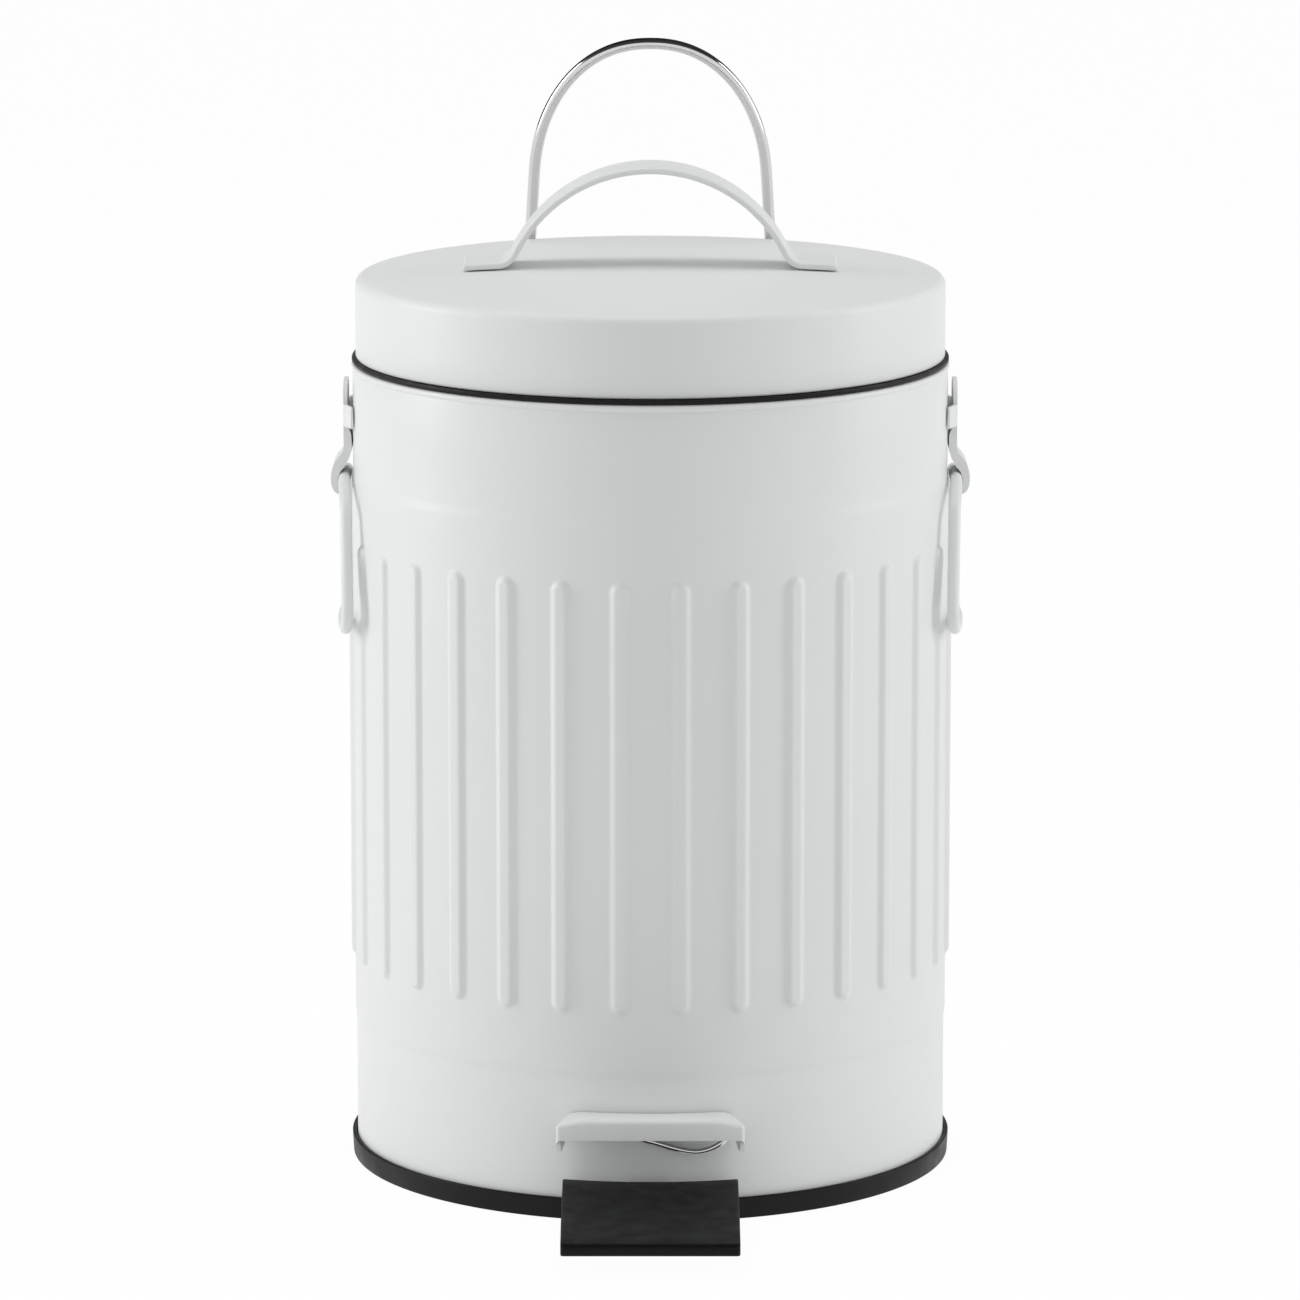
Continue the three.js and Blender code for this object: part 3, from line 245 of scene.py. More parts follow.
def made(bm, name, body, slot, material, *stands_for, crease=35):
    """A mesh drawn in millimetres round the body's axis becomes a piece."""
    bmesh.ops.transform(bm, matrix=to_frame, verts=bm.verts[:])
    mesh = bpy.data.meshes.new(name)
    bm.to_mesh(mesh)
    bm.free()
    mesh.shade_smooth()
    mesh.set_sharp_from_angle(angle=math.radians(crease))
    mesh.materials.append(material)
    piece = bpy.data.objects.new(name, mesh)
    scene.collection.objects.link(piece)
    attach(piece, body)
    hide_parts(*stands_for)
    return piece


band_radius = 85.0
neck_radius = 84.65
sheet = 0.8
rib_count = 32
rib_half = 3.05
rib_proud = 1.2
rib_plateau, rib_flank = 0.42, 0.62  # shares of the half width: the flat top, the slope
rib_low, rib_high = 58.8, 181.4
swage_low, swage_high, swage_width = 41.6, 198.0, 3.2


def eased(share):
    """A share from 0 to 1, slow at both ends."""
    share = min(max(share, 0.0), 1.0)
    return share * share * (3 - 2 * share)


def wall_radius(height):
    """Outside radius of the wall between the ribs."""
    into = eased((height - swage_low) / swage_width + 0.5)
    out = eased((swage_high - height) / swage_width + 0.5)
    return neck_radius + (band_radius - neck_radius) * into * out


def rib_rise(across, height):
    """How far a rib stands out, at a distance across it."""
    beyond = max(rib_low + rib_half - height, height - rib_high + rib_half, 0.0)
    reach = math.hypot(across, beyond) / rib_half
    return rib_proud * (1 - eased((reach - rib_plateau) / rib_flank))


half_panel = math.pi * band_radius / rib_count
across = [0.45 * i for i in range(9)] + [4.4, 6.4, half_panel]
across = [-a for a in reversed(across[1:])] + across
fine = [0.47 * i for i in range(9)]
heights = (
    [2.0, 21.0, 38.8] + [40.0 + step for step in fine[:8]] + [50.0, 57.4]
    + [58.1 + step for step in fine] + [120.0] + [178.34 + step for step in fine]
    + [182.8, 190.0] + [196.3 + step for step in fine[:8]] + [215.0, 227.4]
)
bead, bead_radius = (84.0, 229.5), 1.05
bead_turns = [math.radians(-67 + 26.1 * i) for i in range(13)]
rows = [(wall_radius(z), z) for z in heights]
rows += [(bead[0] + bead_radius * math.cos(a), bead[1] + bead_radius * math.sin(a)) for a in bead_turns]
rows += [(wall_radius(z) - sheet, z) for z in reversed(heights)]
rows += rows[:1]

bm = bmesh.new()
bmesh.ops.create_grid(bm, x_segments=len(across) - 1, y_segments=len(rows) - 1, size=1)
for vert in bm.verts:
    offset = across[round((vert.co.x + 1) / 2 * (len(across) - 1))]
    radius, height = rows[round((vert.co.y + 1) / 2 * (len(rows) - 1))]
    radius += rib_rise(offset, height)
    turn = offset / band_radius + math.pi / rib_count - math.pi / 2
    vert.co = (radius * math.cos(turn), radius * math.sin(turn), height)
bmesh.ops.remove_doubles(bm, verts=bm.verts[:], dist=0.01)
bmesh.ops.spin(
    bm, geom=bm.verts[:] + bm.edges[:] + bm.faces[:], cent=(0, 0, 0), axis=(0, 0, 1),
    angle=2 * math.pi * (rib_count - 1) / rib_count, steps=rib_count - 1, use_duplicate=True,
)
bmesh.ops.remove_doubles(bm, verts=bm.verts[:], dist=0.01)


def cut_slot(bm, half, side, low, high):
    """An upright slot through both skins of the wall, its edges closed."""

    def near(point, room):
        inside = abs(point.x) < half + room and point.y * side > 0
        return inside and low - room < point.z < high + room

    planes = [((-half, 0, 0), (1, 0, 0)), ((half, 0, 0), (1, 0, 0))]
    planes += [((0, 0, low), (0, 0, 1)), ((0, 0, high), (0, 0, 1))]
    for place, normal in planes:
        faces = [f for f in bm.faces if any(near(v.co, 14) for v in f.verts)]
        edges = {e for f in faces for e in f.edges}
        verts = {v for f in faces for v in f.verts}
        region = faces + list(edges) + list(verts)
        bmesh.ops.bisect_plane(bm, geom=region, plane_co=place, plane_no=normal, dist=1e-4)
    doomed = [f for f in bm.faces if near(f.calc_center_median(), -0.01)]
    bmesh.ops.delete(bm, geom=doomed, context="FACES")
    rim = [e for e in bm.edges if e.is_boundary and near(e.verts[0].co, 0.1)]
    bmesh.ops.bridge_loops(bm, edges=rim)


cut_slot(bm, 6.8, -1, 6.4, 11.3)
cut_slot(bm, 3.3, 1, 215.25, 228.05)
bmesh.ops.recalc_face_normals(bm, faces=bm.faces[:])
made(bm, "body_sheet", "bin", "white_coat", white_coat, "body_shell")

# -------------------------------------------------------------- the base ring
# A black plastic ring pushed on round the foot of the body. The bin stands on it.


def spun(profile, steps=192, closed=True):
    """A profile of (radius, height) points turned round the body's axis."""
    bm = bmesh.new()
    verts = [bm.verts.new((radius, 0, height)) for radius, height in profile]
    pairs = list(zip(verts, verts[1:]))
    if closed:
        pairs.append((verts[-1], verts[0]))
    edges = [bm.edges.new(pair) for pair in pairs]
    bmesh.ops.spin(
        bm, geom=verts + edges, cent=(0, 0, 0), axis=(0, 0, 1), angle=2 * math.pi, steps=steps,
        use_merge=True, use_duplicate=False,
    )
    bmesh.ops.remove_doubles(bm, verts=bm.verts[:], dist=0.001)
    bmesh.ops.recalc_face_normals(bm, faces=bm.faces[:])
    return bm


def soften(bm, width, segments=3, above=40):
    """Rounds every edge that turns by more than the angle."""
    limit = math.radians(above)
    sharp = [e for e in bm.edges if len(e.link_faces) == 2 and e.calc_face_angle() > limit]
    bmesh.ops.bevel(
        bm, geom=sharp, offset=width, offset_type="OFFSET", segments=segments, profile=0.5,
        affect="EDGES", clamp_overlap=True, material=-1,
    )


# Black moulded plastic: satin, with a fine spark-eroded texture.
black_plastic, tree, main = dressed("black_plastic", (0.0085, 0.0085, 0.009), 0.42)
main.inputs["Specular IOR Level"].default_value = 0.16
tint(tree, grain(tree, 0.03), (0.0068, 0.0068, 0.0072), (0.0104, 0.0104, 0.011), main.inputs["Base Color"])
spread(tree, grain(tree, 0.008), 0.36, 0.5, main.inputs["Roughness"])
relief(tree, grain(tree, 0.0004), 0.00001, 0.4, main)

bm = spun([
    (85.9, 0), (86.2, 6.1), (84.95, 6.1), (84.95, 1.7), (83.55, 1.7), (83.55, 6.1),
    (82.3, 6.1), (82.3, 1.7), (80.5, 1.7), (80.5, 0),
])
soften(bm, 0.35)
made(bm, "foot_ring", "bin", "black_plastic", black_plastic, "base_ring")

# --------------------------------------------------------------- the rim ring
# A second black ring, clipped into the mouth of the body. The lid closes on it,
# so it shows as a thin dark line, and the bucket's flange rests on it.
bm = spun([
    (84.9, 230.7), (84.9, 231.9), (78.4, 231.9), (78.4, 230.7), (81.7, 230.7), (81.7, 222.2),
    (82.9, 222.2), (82.9, 230.7),
])
half = 4.1
planes = [((-half, 0, 0), (1, 0, 0)), ((half, 0, 0), (1, 0, 0)), ((0, 0, 230.7), (0, 0, 1))]
for place, normal in planes:
    region = bm.verts[:] + bm.edges[:] + bm.faces[:]
    bmesh.ops.bisect_plane(bm, geom=region, plane_co=place, plane_no=normal, dist=1e-4)
doomed = [
    f for f in bm.faces
    if abs(f.calc_center_median().x) < half - 0.01 and f.calc_center_median().y > 0
    and f.calc_center_median().z < 230.69
]
bmesh.ops.delete(bm, geom=doomed, context="FACES")
rim = [e for e in bm.edges if e.is_boundary]
bmesh.ops.holes_fill(bm, edges=rim, sides=0)
bmesh.ops.recalc_face_normals(bm, faces=bm.faces[:])
soften(bm, 0.3, 2, 60)
made(bm, "mouth_ring", "bin", "black_plastic", black_plastic, "rim_ring")

# -------------------------------------------------------------------- the lid
# One pressing: a shallow crown, a rounded edge and a straight skirt that is
# hemmed inwards at its foot. The same powder coat as the body.
skirt, corner, flat = 83.8, 2.5, 81.3
lid_top, crown_rise, corner_height = 258.1, 3.3, 252.3
crown_radius = (flat * flat + crown_rise * crown_rise) / (2 * crown_rise)


def crown(radius):
    """Height of the lid's top at a radius."""
    return lid_top - crown_radius + math.sqrt(crown_radius ** 2 - radius ** 2)


def turned_corner(radius, start, end, steps):
    """Points round the lid's edge, from one angle to another."""
    angles = [math.radians(start + (end - start) * i / steps) for i in range(steps + 1)]
    return [(flat + radius * math.cos(a), corner_height + radius * math.sin(a)) for a in angles]


lid_outside = [(flat * i / 10, crown(flat * i / 10)) for i in range(10)]
lid_outside += turned_corner(corner, 85.3, 0, 10)
lid_outside += [(skirt, 240), (skirt, 232.6), (83.65, 232.2), (83.3, 232.05), (82.75, 232.05)]
lid_outside += [(82.45, 232.2), (82.4, 232.6), (82.4, 233.9), (82.6, 234.3), (83.0, 234.6)]
lid_inside = [(83.0, 240)] + turned_corner(corner - sheet, 0, 85, 6)
lid_inside += [(flat * i / 6, crown(flat * i / 6) - sheet) for i in range(5, -1, -1)]
bm = spun(lid_outside + lid_inside, closed=False)
made(bm, "lid_pressing", "lid", "white_coat", white_coat, "lid_shell", crease=50)

# ------------------------------------------------------------- the lid handle
# A flat steel strap bent to an arch, a foot welded to the lid at each end, and
# coated with it.


def strap(path, width):
    """A ribbon as wide as this along y, through (x, z) points."""
    bm = bmesh.new()
    verts = [bm.verts.new((x, -width / 2, z)) for x, z in path]
    edges = [bm.edges.new(pair) for pair in zip(verts, verts[1:])]
    drawn = bmesh.ops.extrude_edge_only(bm, edges=edges)["geom"]
    fresh = [g for g in drawn if isinstance(g, bmesh.types.BMVert)]
    bmesh.ops.translate(bm, verts=fresh, vec=(0, width, 0))
    bmesh.ops.recalc_face_normals(bm, faces=bm.faces[:])
    return bm


def thicken(piece, thickness, edge, segments=3):
    """Gives a sheet its gauge, half to each side to begin with, and rounds its edges."""
    gauge = piece.modifiers.new("gauge", "SOLIDIFY")
    gauge.thickness = thickness * 0.001
    gauge.offset = 0
    gauge.use_even_offset = True
    round_edge = piece.modifiers.new("round_edge", "BEVEL")
    round_edge.width = edge * 0.001
    round_edge.segments = segments
    round_edge.limit_method = "ANGLE"
    round_edge.angle_limit = math.radians(50)
    round_edge.harden_normals = True


strap_gauge = 1.9
arch_outer, arch_rise, strap_gap = 43.8, 28.3, 0.3
foot_near, foot_far = 43.2, 53.0
arch_radius = arch_outer - strap_gauge / 2
arch_middle = lid_top + arch_rise - arch_outer
foot_start = (foot_near, crown(foot_near) + strap_gap + strap_gauge / 2)
foot_end = (foot_far, crown(foot_far) + strap_gap + strap_gauge / 2)
elbow = (40.4, foot_start[1])
turns = [math.radians(90 - 64 * i / 40) for i in range(41)]
half_strap = [(arch_radius * math.cos(a), arch_middle + arch_radius * math.sin(a)) for a in turns]
last = half_strap[-1]
for i in range(1, 13):
    t = i / 12
    half_strap.append(tuple(
        (1 - t) ** 2 * a + 2 * t * (1 - t) * b + t * t * c
        for a, b, c in zip(last, elbow, foot_start)
    ))
half_strap.append(foot_end)
other_half = [(-x, z) for x, z in reversed(half_strap[1:])]
bm = strap(other_half + half_strap, 19.0)
handle = made(bm, "handle_strap", "lid", "white_coat", white_coat, "lid_handle", crease=80)
thicken(handle, strap_gauge, 0.8, 5)

# --------------------------------------------------------------- the rear bail
# Round wire bent to a tall arch and chromed. Its flattened ends are threaded on
# the hinge pin, and it leans against the back edge of the lid.


def wire(points, radius, sides=20, closed=False):
    """A round wire through the points: a circle drawn along them."""
    points = [Vector(p) for p in points]
    last = len(points) - 1
    if closed:
        legs = [(points[i - 1], points[(i + 1) % (last + 1)]) for i in range(last + 1)]
    else:
        legs = [(points[max(i - 1, 0)], points[min(i + 1, last)]) for i in range(last + 1)]
    headings = [(b - a).normalized() for a, b in legs]
    bm = bmesh.new()
    first = bmesh.ops.create_circle(bm, segments=sides, radius=radius)["verts"]
    face_on = Vector((0, 0, 1)).rotation_difference(headings[0]).to_matrix().to_4x4()
    bmesh.ops.transform(bm, matrix=Matrix.Translation(points[0]) @ face_on, verts=first)
    edges = bm.edges[:]
    for here, there, a, b in zip(points, points[1:], headings, headings[1:]):
        drawn = bmesh.ops.extrude_edge_only(bm, edges=edges)["geom"]
        ring = [g for g in drawn if isinstance(g, bmesh.types.BMVert)]
        edges = [g for g in drawn if isinstance(g, bmesh.types.BMEdge)]
        edges = [e for e in edges if all(v in ring for v in e.verts)]
        turn = a.rotation_difference(b).to_matrix().to_4x4()
        step = Matrix.Translation(there) @ turn @ Matrix.Translation(-here)
        bmesh.ops.transform(bm, matrix=step, verts=ring)
    ends = [e for e in bm.edges if e.is_boundary]
    if closed:
        bmesh.ops.bridge_loops(bm, edges=ends)
    else:
        bmesh.ops.holes_fill(bm, edges=ends, sides=0)
    bmesh.ops.recalc_face_normals(bm, faces=bm.faces[:])
    return bm


def along_x(profile, steps=40, closed=True):
    """A profile of (radius, x) points turned round an axis along x."""
    bm = spun(profile, steps, closed)
    bmesh.ops.rotate(bm, cent=(0, 0, 0), matrix=Matrix.Rotation(math.pi / 2, 3, "Y"), verts=bm.verts[:])
    return bm


def put_in(bm, other):
    """Adds another mesh to this one."""
    loose = bpy.data.meshes.new("loose")
    other.to_mesh(loose)
    other.free()
    bm.from_mesh(loose)
    bpy.data.meshes.remove(loose)


# Bright chrome, a little duller and rougher in places.
bright_chrome, tree, main = dressed("bright_chrome", (0.66, 0.66, 0.67), 0.1, 1.0)
tint(tree, grain(tree, 0.015), (0.62, 0.62, 0.63), (0.7, 0.7, 0.71), main.inputs["Base Color"])
spread(tree, grain(tree, 0.012), 0.08, 0.13, main.inputs["Roughness"])

pin_y, pin_z = 89.3, 221.5
bail_long, bail_arch, bail_taper = 98.0, 42.0, 5.9
eye_half = 1.9
eye_middle = 34.5 + 0.6 + 0.3 + eye_half
arch_power = 2 / 2.2


def bail_half(height):
    """Half the bail's width at a height above its pin."""
    return eye_middle - bail_taper * height / bail_long


leg = bail_long - bail_arch
bail_line = [(-bail_half(z), 0, z) for z in (0, 2, 14, 28, 42, 52)]
for i in range(65):
    a = math.pi * i / 64
    height = leg + bail_arch * math.sin(a) ** arch_power
    reach = math.copysign(abs(math.cos(a)) ** arch_power, math.cos(a))
    bail_line.append((-reach * bail_half(height), 0, height))
bail_line += [(-x, y, z) for x, y, z in reversed(bail_line[:6])]
bm = wire(bail_line, 1.7, 24)
for side in (-1, 1):
    eye = along_x([(1.8, -eye_half), (1.8, eye_half), (3.93, eye_half), (3.93, -eye_half)])
    soften(eye, 0.4)
    bmesh.ops.translate(eye, verts=eye.verts[:], vec=(side * eye_middle, 0, 0))
    put_in(bm, eye)
lean = Matrix.Translation((0, pin_y, pin_z)) @ Matrix.Rotation(math.radians(19), 4, "X")
bmesh.ops.transform(bm, matrix=lean, verts=bm.verts[:])
made(bm, "rear_bail", "bail", "chrome", bright_chrome, "carry_bail")

# ------------------------------------------------------------- the side rings
# Wire bent to a stirrup and bowed to the body's curve, coated white, one hanging
# in the hook on each side with its foot close to the body.


def bent(corners, steps=8):
    """A line through (x, z, trim) corners, each rounded within its trim."""
    line = []
    for i, (x, z, trim) in enumerate(corners):
        here = Vector((x, z))
        if not trim:
            line.append(here)
            continue
        before = Vector(corners[i - 1][:2])
        after = Vector(corners[(i + 1) % len(corners)][:2])
        start = here + (before - here).normalized() * trim
        end = here + (after - here).normalized() * trim
        for k in range(steps + 1):
            t = k / steps
            line.append(start * (1 - t) ** 2 + here * 2 * t * (1 - t) + end * t * t)
    return line


ring_drop, foot_half, ring_bow = 40.5, 30.3, 2.2
ring_out, ring_high = 87.2, 197.2
ring_lean = Matrix.Rotation(-math.atan2(0.4, ring_drop), 3, "Y")
side_turn = math.atan2(6, 11.5)
leg_turn = math.atan2(34.5, 7.8)
half_ring = [
    (11, 0, 3.5 * math.tan(side_turn / 2)),
    (22.5, -6, 6 * math.tan((leg_turn - side_turn) / 2)),
    (foot_half, -ring_drop, 8 * math.tan((math.pi - leg_turn) / 2)),
]
whole_ring = half_ring + [(0, -ring_drop, 15)] + [(-x, z, trim) for x, z, trim in reversed(half_ring)]
stirrup = []
for spot in bent(whole_ring):
    inward = ring_bow * (spot.x / foot_half) ** 2
    stirrup.append(ring_lean @ Vector((-inward, spot.x, spot.y)))
for side, word in ((-1, "left"), (1, "right")):
    hang = [(side * (ring_out + p.x), p.y, ring_high + p.z) for p in stirrup]
    bm = wire(hang, 1.7, 20, closed=True)
    made(bm, f"stirrup_{word}", f"{word}_ring", "white_coat", white_coat, f"side_ring_{word}")

# ---------------------------------------------------------- the side brackets
# Pressed steel straps welded to the neck by two wings. Below them the strap is
# drawn deeper, steps out in a shoulder and curls under into the ring's hook.
tab_face, tab_top, tab_corner = 87.2, 225.0, 4.0
wing_low, wing_top, neck_low = 212.4, 218.5, 209.5
wing_tip, wing_half, tip_gauge = 84.85, 12.6, 0.6
tab_gauge, deepest = 1.2, 3.2
# Outer face of neck, shoulder and hook as (x, z, trim, depth of the pressing).
hook_stops = [
    (tab_face, neck_low, 0, 2.2), (tab_face, 204.9, 1.6, 2.4), (89.9, 201.9, 1.5, 3.2),
    (90.75, 199.0, 1.2, 2.3), (90.97, 196.6, 1.1, 1.9), (90.5, 194.0, 1.1, 1.9),
    (89.2, 192.6, 0.75, 1.8), (87.6, 192.5, 0, 1.7),
]
hook_face = bent([stop[:3] for stop in hook_stops], 5)
strap_face = [(tab_face, tab_top - tab_corner * (1 - math.cos(math.radians(9 * i)))) for i in range(11)]
strap_face += [(tab_face, z) for z in (wing_top, 215.5, wing_low, 211.4, 210.4)]
strap_face += [tuple(spot) for spot in hook_face]


def pressing_depth(z):
    """How deep the pressing is at a height on its outer face."""
    if z > wing_low:
        return tab_gauge
    if z > neck_low:
        return tab_gauge + (hook_stops[0][3] - tab_gauge) * eased((wing_low - z) / (wing_low - neck_low))
    for before, after in zip(hook_stops, hook_stops[1:]):
        if z > after[1] - 0.01:
            break
    share = (before[1] - z) / (before[1] - after[1])
    return before[3] + (after[3] - before[3]) * min(max(share, 0), 1)


for side, word in ((-1, "left"), (1, "right")):
    bm = strap([(side * x, z) for x, z in strap_face], 2.0)
    for vert in bm.verts:
        z = vert.co.z
        half = 7.0 - 0.8 * eased((wing_low - z) / 1.0)
        over = z - (tab_top - tab_corner)
        if over > 0:
            half = 7.0 - tab_corner + math.sqrt(max(tab_corner ** 2 - over ** 2, 0.0))
        vert.co.y *= half
    flanks = [
        e for e in bm.edges
        if e.is_boundary and all(wing_low - 0.1 < v.co.z < wing_top + 0.1 for v in e.verts)
    ]
    drawn = bmesh.ops.extrude_edge_only(bm, edges=flanks)["geom"]
    wing_tips = [g for g in drawn if isinstance(g, bmesh.types.BMVert)]
    for vert in wing_tips:
        vert.co.x, vert.co.y = side * wing_tip, math.copysign(wing_half, vert.co.y)
    bmesh.ops.recalc_face_normals(bm, faces=bm.faces[:])
    if min(bm.faces, key=lambda f: abs(f.calc_center_median().z - 216)).normal.x * side < 0:
        bmesh.ops.reverse_faces(bm, faces=bm.faces[:])
    node = f"side_bracket_{word}"
    bracket = made(bm, f"bracket_pressing_{word}", "bin", "white_coat", white_coat, node, crease=80)
    depth = bracket.vertex_groups.new(name="depth")
    for vert in bracket.data.vertices:
        aside = abs(vert.co.y - body_axis) * 1000
        deep = tip_gauge if aside > wing_half - 0.6 else pressing_depth(1000 * vert.co.z)
        depth.add([vert.index], deep / deepest, "REPLACE")
    thicken(bracket, deepest, 0.3)
    bracket.modifiers["gauge"].offset = -1
    bracket.modifiers["gauge"].use_even_offset = False
    bracket.modifiers["gauge"].vertex_group = "depth"

# ------------------------------------------------------------- the pedal hood
# A little awning pressed from sheet and welded over the pedal: a flat front, a
# shelf back to the body, and a pointed flange turned back below each end.
hood_front, hood_top, hood_low, hood_gauge = 93.0, 31.0, 25.2, 1.2
front_half, body_half, weld_radius = 26.5, 23.4, neck_radius + 0.35
hood_fold, level_half, end_drop = 1.6, 18.7, 1.1
rows = [0.0, 0.2, 0.45, 0.72, 1.0]  # shares of the way from the front to the body
flange_feet = [hood_low, 21.6, 23.2, 25.0, 26.7]
bm = bmesh.new()
bmesh.ops.create_grid(bm, x_segments=36, y_segments=len(rows) - 1, size=1)
for vert in bm.verts:
    back = rows[round((vert.co.y + 1) / 2 * (len(rows) - 1))]
    x0, x1 = front_half * vert.co.x, body_half * vert.co.x
    y1 = -math.sqrt(weld_radius ** 2 - x1 ** 2)
    vert.co = (x0 + (x1 - x0) * back, -hood_front + (y1 + hood_front) * back, hood_top)
outline = [e for e in bm.edges if e.is_boundary and not (
    all(math.hypot(v.co.x, v.co.y) < weld_radius + 0.25 for v in e.verts)
)]
drawn = bmesh.ops.extrude_edge_only(bm, edges=outline)["geom"]
weld_end = -math.sqrt(weld_radius ** 2 - body_half ** 2)
for vert in [g for g in drawn if isinstance(g, bmesh.types.BMVert)]:
    if vert.co.y < 0.1 - hood_front:
        vert.co.z = hood_low
        continue
    back = (vert.co.y + hood_front) / (weld_end + hood_front)
    vert.co.z = flange_feet[min(range(len(rows)), key=lambda i: abs(rows[i] - back))]
bmesh.ops.recalc_face_normals(bm, faces=bm.faces[:])
if max(bm.faces, key=lambda f: f.calc_center_median().z).normal.z < 0:
    bmesh.ops.reverse_faces(bm, faces=bm.faces[:])
folds = [e for e in bm.edges if len(e.link_faces) == 2 and e.calc_face_angle() > 1.0]
bmesh.ops.bevel(
    bm, geom=folds, offset=hood_fold, offset_type="OFFSET", segments=6, profile=0.5, affect="EDGES",
    clamp_overlap=True, material=-1,
)
for vert in bm.verts:
    past = eased((abs(vert.co.x) - level_half) / 6.5) * eased((vert.co.z - 26.5) / 3.5)
    vert.co.z -= end_drop * past
hood = made(bm, "hood_pressing", "bin", "white_coat", white_coat, "pedal_hood", crease=60)
thicken(hood, hood_gauge, 0.25, 2)
hood.modifiers["gauge"].offset = -1
hood.modifiers["gauge"].use_even_offset = False

# --------------------------------------------------------- the bow under it
# A short bright wire sprung in under the hood, low on the right of the pedal.
bow_y = -87.6
bow_knots = [
    (-10.0, 28.9), (-6.2, 26.4), (-2.4, 24.4), (1.5, 23.3), (6.0, 21.9), (10.0, 21.0), (13.2, 20.75),
    (16.5, 21.5), (19.4, 23.0), (21.2, 24.6), (21.9, 26.6), (22.0, 28.9),
]
bow_line = []
for i in range(len(bow_knots) - 1):
    k = [Vector(bow_knots[min(max(i + j, 0), len(bow_knots) - 1)]) for j in (-1, 0, 1, 2)]
    for step in range(5):
        t = step / 5
        bend = (
            k[1] * 2 + (k[2] - k[0]) * t + (k[0] * 2 - k[1] * 5 + k[2] * 4 - k[3]) * t ** 2
            + (k[1] * 3 - k[0] - k[2] * 3 + k[3]) * t ** 3
        ) / 2
        bow_line.append((bend.x, bow_y, bend.y))
bow_line.append((bow_knots[-1][0], bow_y, bow_knots[-1][1]))
made(wire(bow_line, 0.84, 14), "bow_wire", "bin", "chrome", bright_chrome, "hood_bow")

# -------------------------------------------------------------- the pedal pad
# A dark plastic shoe moulded to slide over the lever's end, its back edge hollowed
# to the body's curve, its front turned down to a lip.
pad_plastic, tree, main = dressed("pedal_plastic", (0.0055, 0.0058, 0.006), 0.5)
main.inputs["Specular IOR Level"].default_value = 0.13
tint(tree, grain(tree, 0.02), (0.0046, 0.0048, 0.005), (0.0066, 0.0069, 0.0071), main.inputs["Base Color"])
spread(tree, grain(tree, 0.006), 0.44, 0.56, main.inputs["Roughness"])
relief(tree, grain(tree, 0.0004), 0.00001, 0.4, main)

pad_half, pad_front, pad_back = 24.55, -145.4, 91.65
top_back, top_front = 13.25, 9.65
low_back, low_front = 8.7, 6.1
pad_steps = 30
bm = bmesh.new()
bmesh.ops.create_cube(bm, size=1)
bmesh.ops.subdivide_edges(
    bm, edges=[e for e in bm.edges if abs(e.verts[0].co.x - e.verts[1].co.x) > 0.5],
    cuts=pad_steps - 1, use_grid_fill=True,
)
bmesh.ops.subdivide_edges(
    bm, edges=[e for e in bm.edges if abs(e.verts[0].co.y - e.verts[1].co.y) > 0.5],
    cuts=9, use_grid_fill=True,
)
for vert in bm.verts:
    x = vert.co.x * 2 * pad_half
    share = 0.5 - vert.co.y
    back = -math.sqrt(pad_back ** 2 - x ** 2)
    top = top_back + (top_front - top_back) * share
    low = low_back + (low_front - low_back) * share
    narrow = 1 - 0.006 * abs(share - 0.6)
    vert.co = (x * narrow, back + (pad_front - back) * share, top if vert.co.z > 0 else low)
bmesh.ops.recalc_face_normals(bm, faces=bm.faces[:])
front_edges = [
    e for e in bm.edges
    if e.calc_face_angle(0) > 0.7 and all(v.co.y < pad_front + 0.1 for v in e.verts)
]
bmesh.ops.bevel(
    bm, geom=front_edges, offset=1.2, offset_type="OFFSET", segments=5, profile=0.5, affect="EDGES",
    clamp_overlap=True, material=-1,
)
soften(bm, 0.5, 3, 45)
made(bm, "pedal_shoe", "pedal", "pad_plastic", pad_plastic, "pedal_pad")

# ----------------------------------------------------------------- the bucket
# A lift-out bucket in dark plastic that hangs by its flange on the mouth ring,
# with a thin wire bail folded down on the flange.
bucket_plastic, tree, main = dressed("bucket_plastic", (0.03, 0.03, 0.031), 0.4)
tint(tree, grain(tree, 0.03), (0.025, 0.025, 0.026), (0.036, 0.036, 0.037), main.inputs["Base Color"])
spread(tree, grain(tree, 0.01), 0.34, 0.46, main.inputs["Roughness"])
relief(tree, grain(tree, 0.0008), 0.00001, 0.3, main)

bm = spun([
    (0, 30), (62, 30), (66.5, 30), (68.2, 30.6), (69.2, 31.8), (69.6, 33.4), (76.5, 231.2), (76.5, 232.2),
    (81.5, 232.2), (81.5, 234.0), (76.2, 234.0), (75.3, 233.7), (75.0, 232.9), (68.1, 33.6), (67.5, 32.3),
    (66.3, 31.6), (62, 31.5), (0, 31.5),
], closed=False)
for side in (-1, 1):
    lug = bmesh.new()
    bmesh.ops.create_cube(lug, size=1)
    bmesh.ops.scale(lug, vec=(1.5, 6.0, 5.0), verts=lug.verts[:])
    bmesh.ops.translate(lug, vec=(side * 75.95, 0, 236.0), verts=lug.verts[:])
    soften(lug, 0.5)
    put_in(bm, lug)
made(bm, "lift_out_bucket", "bin", "bucket_plastic", bucket_plastic, "inner_bucket", crease=40)

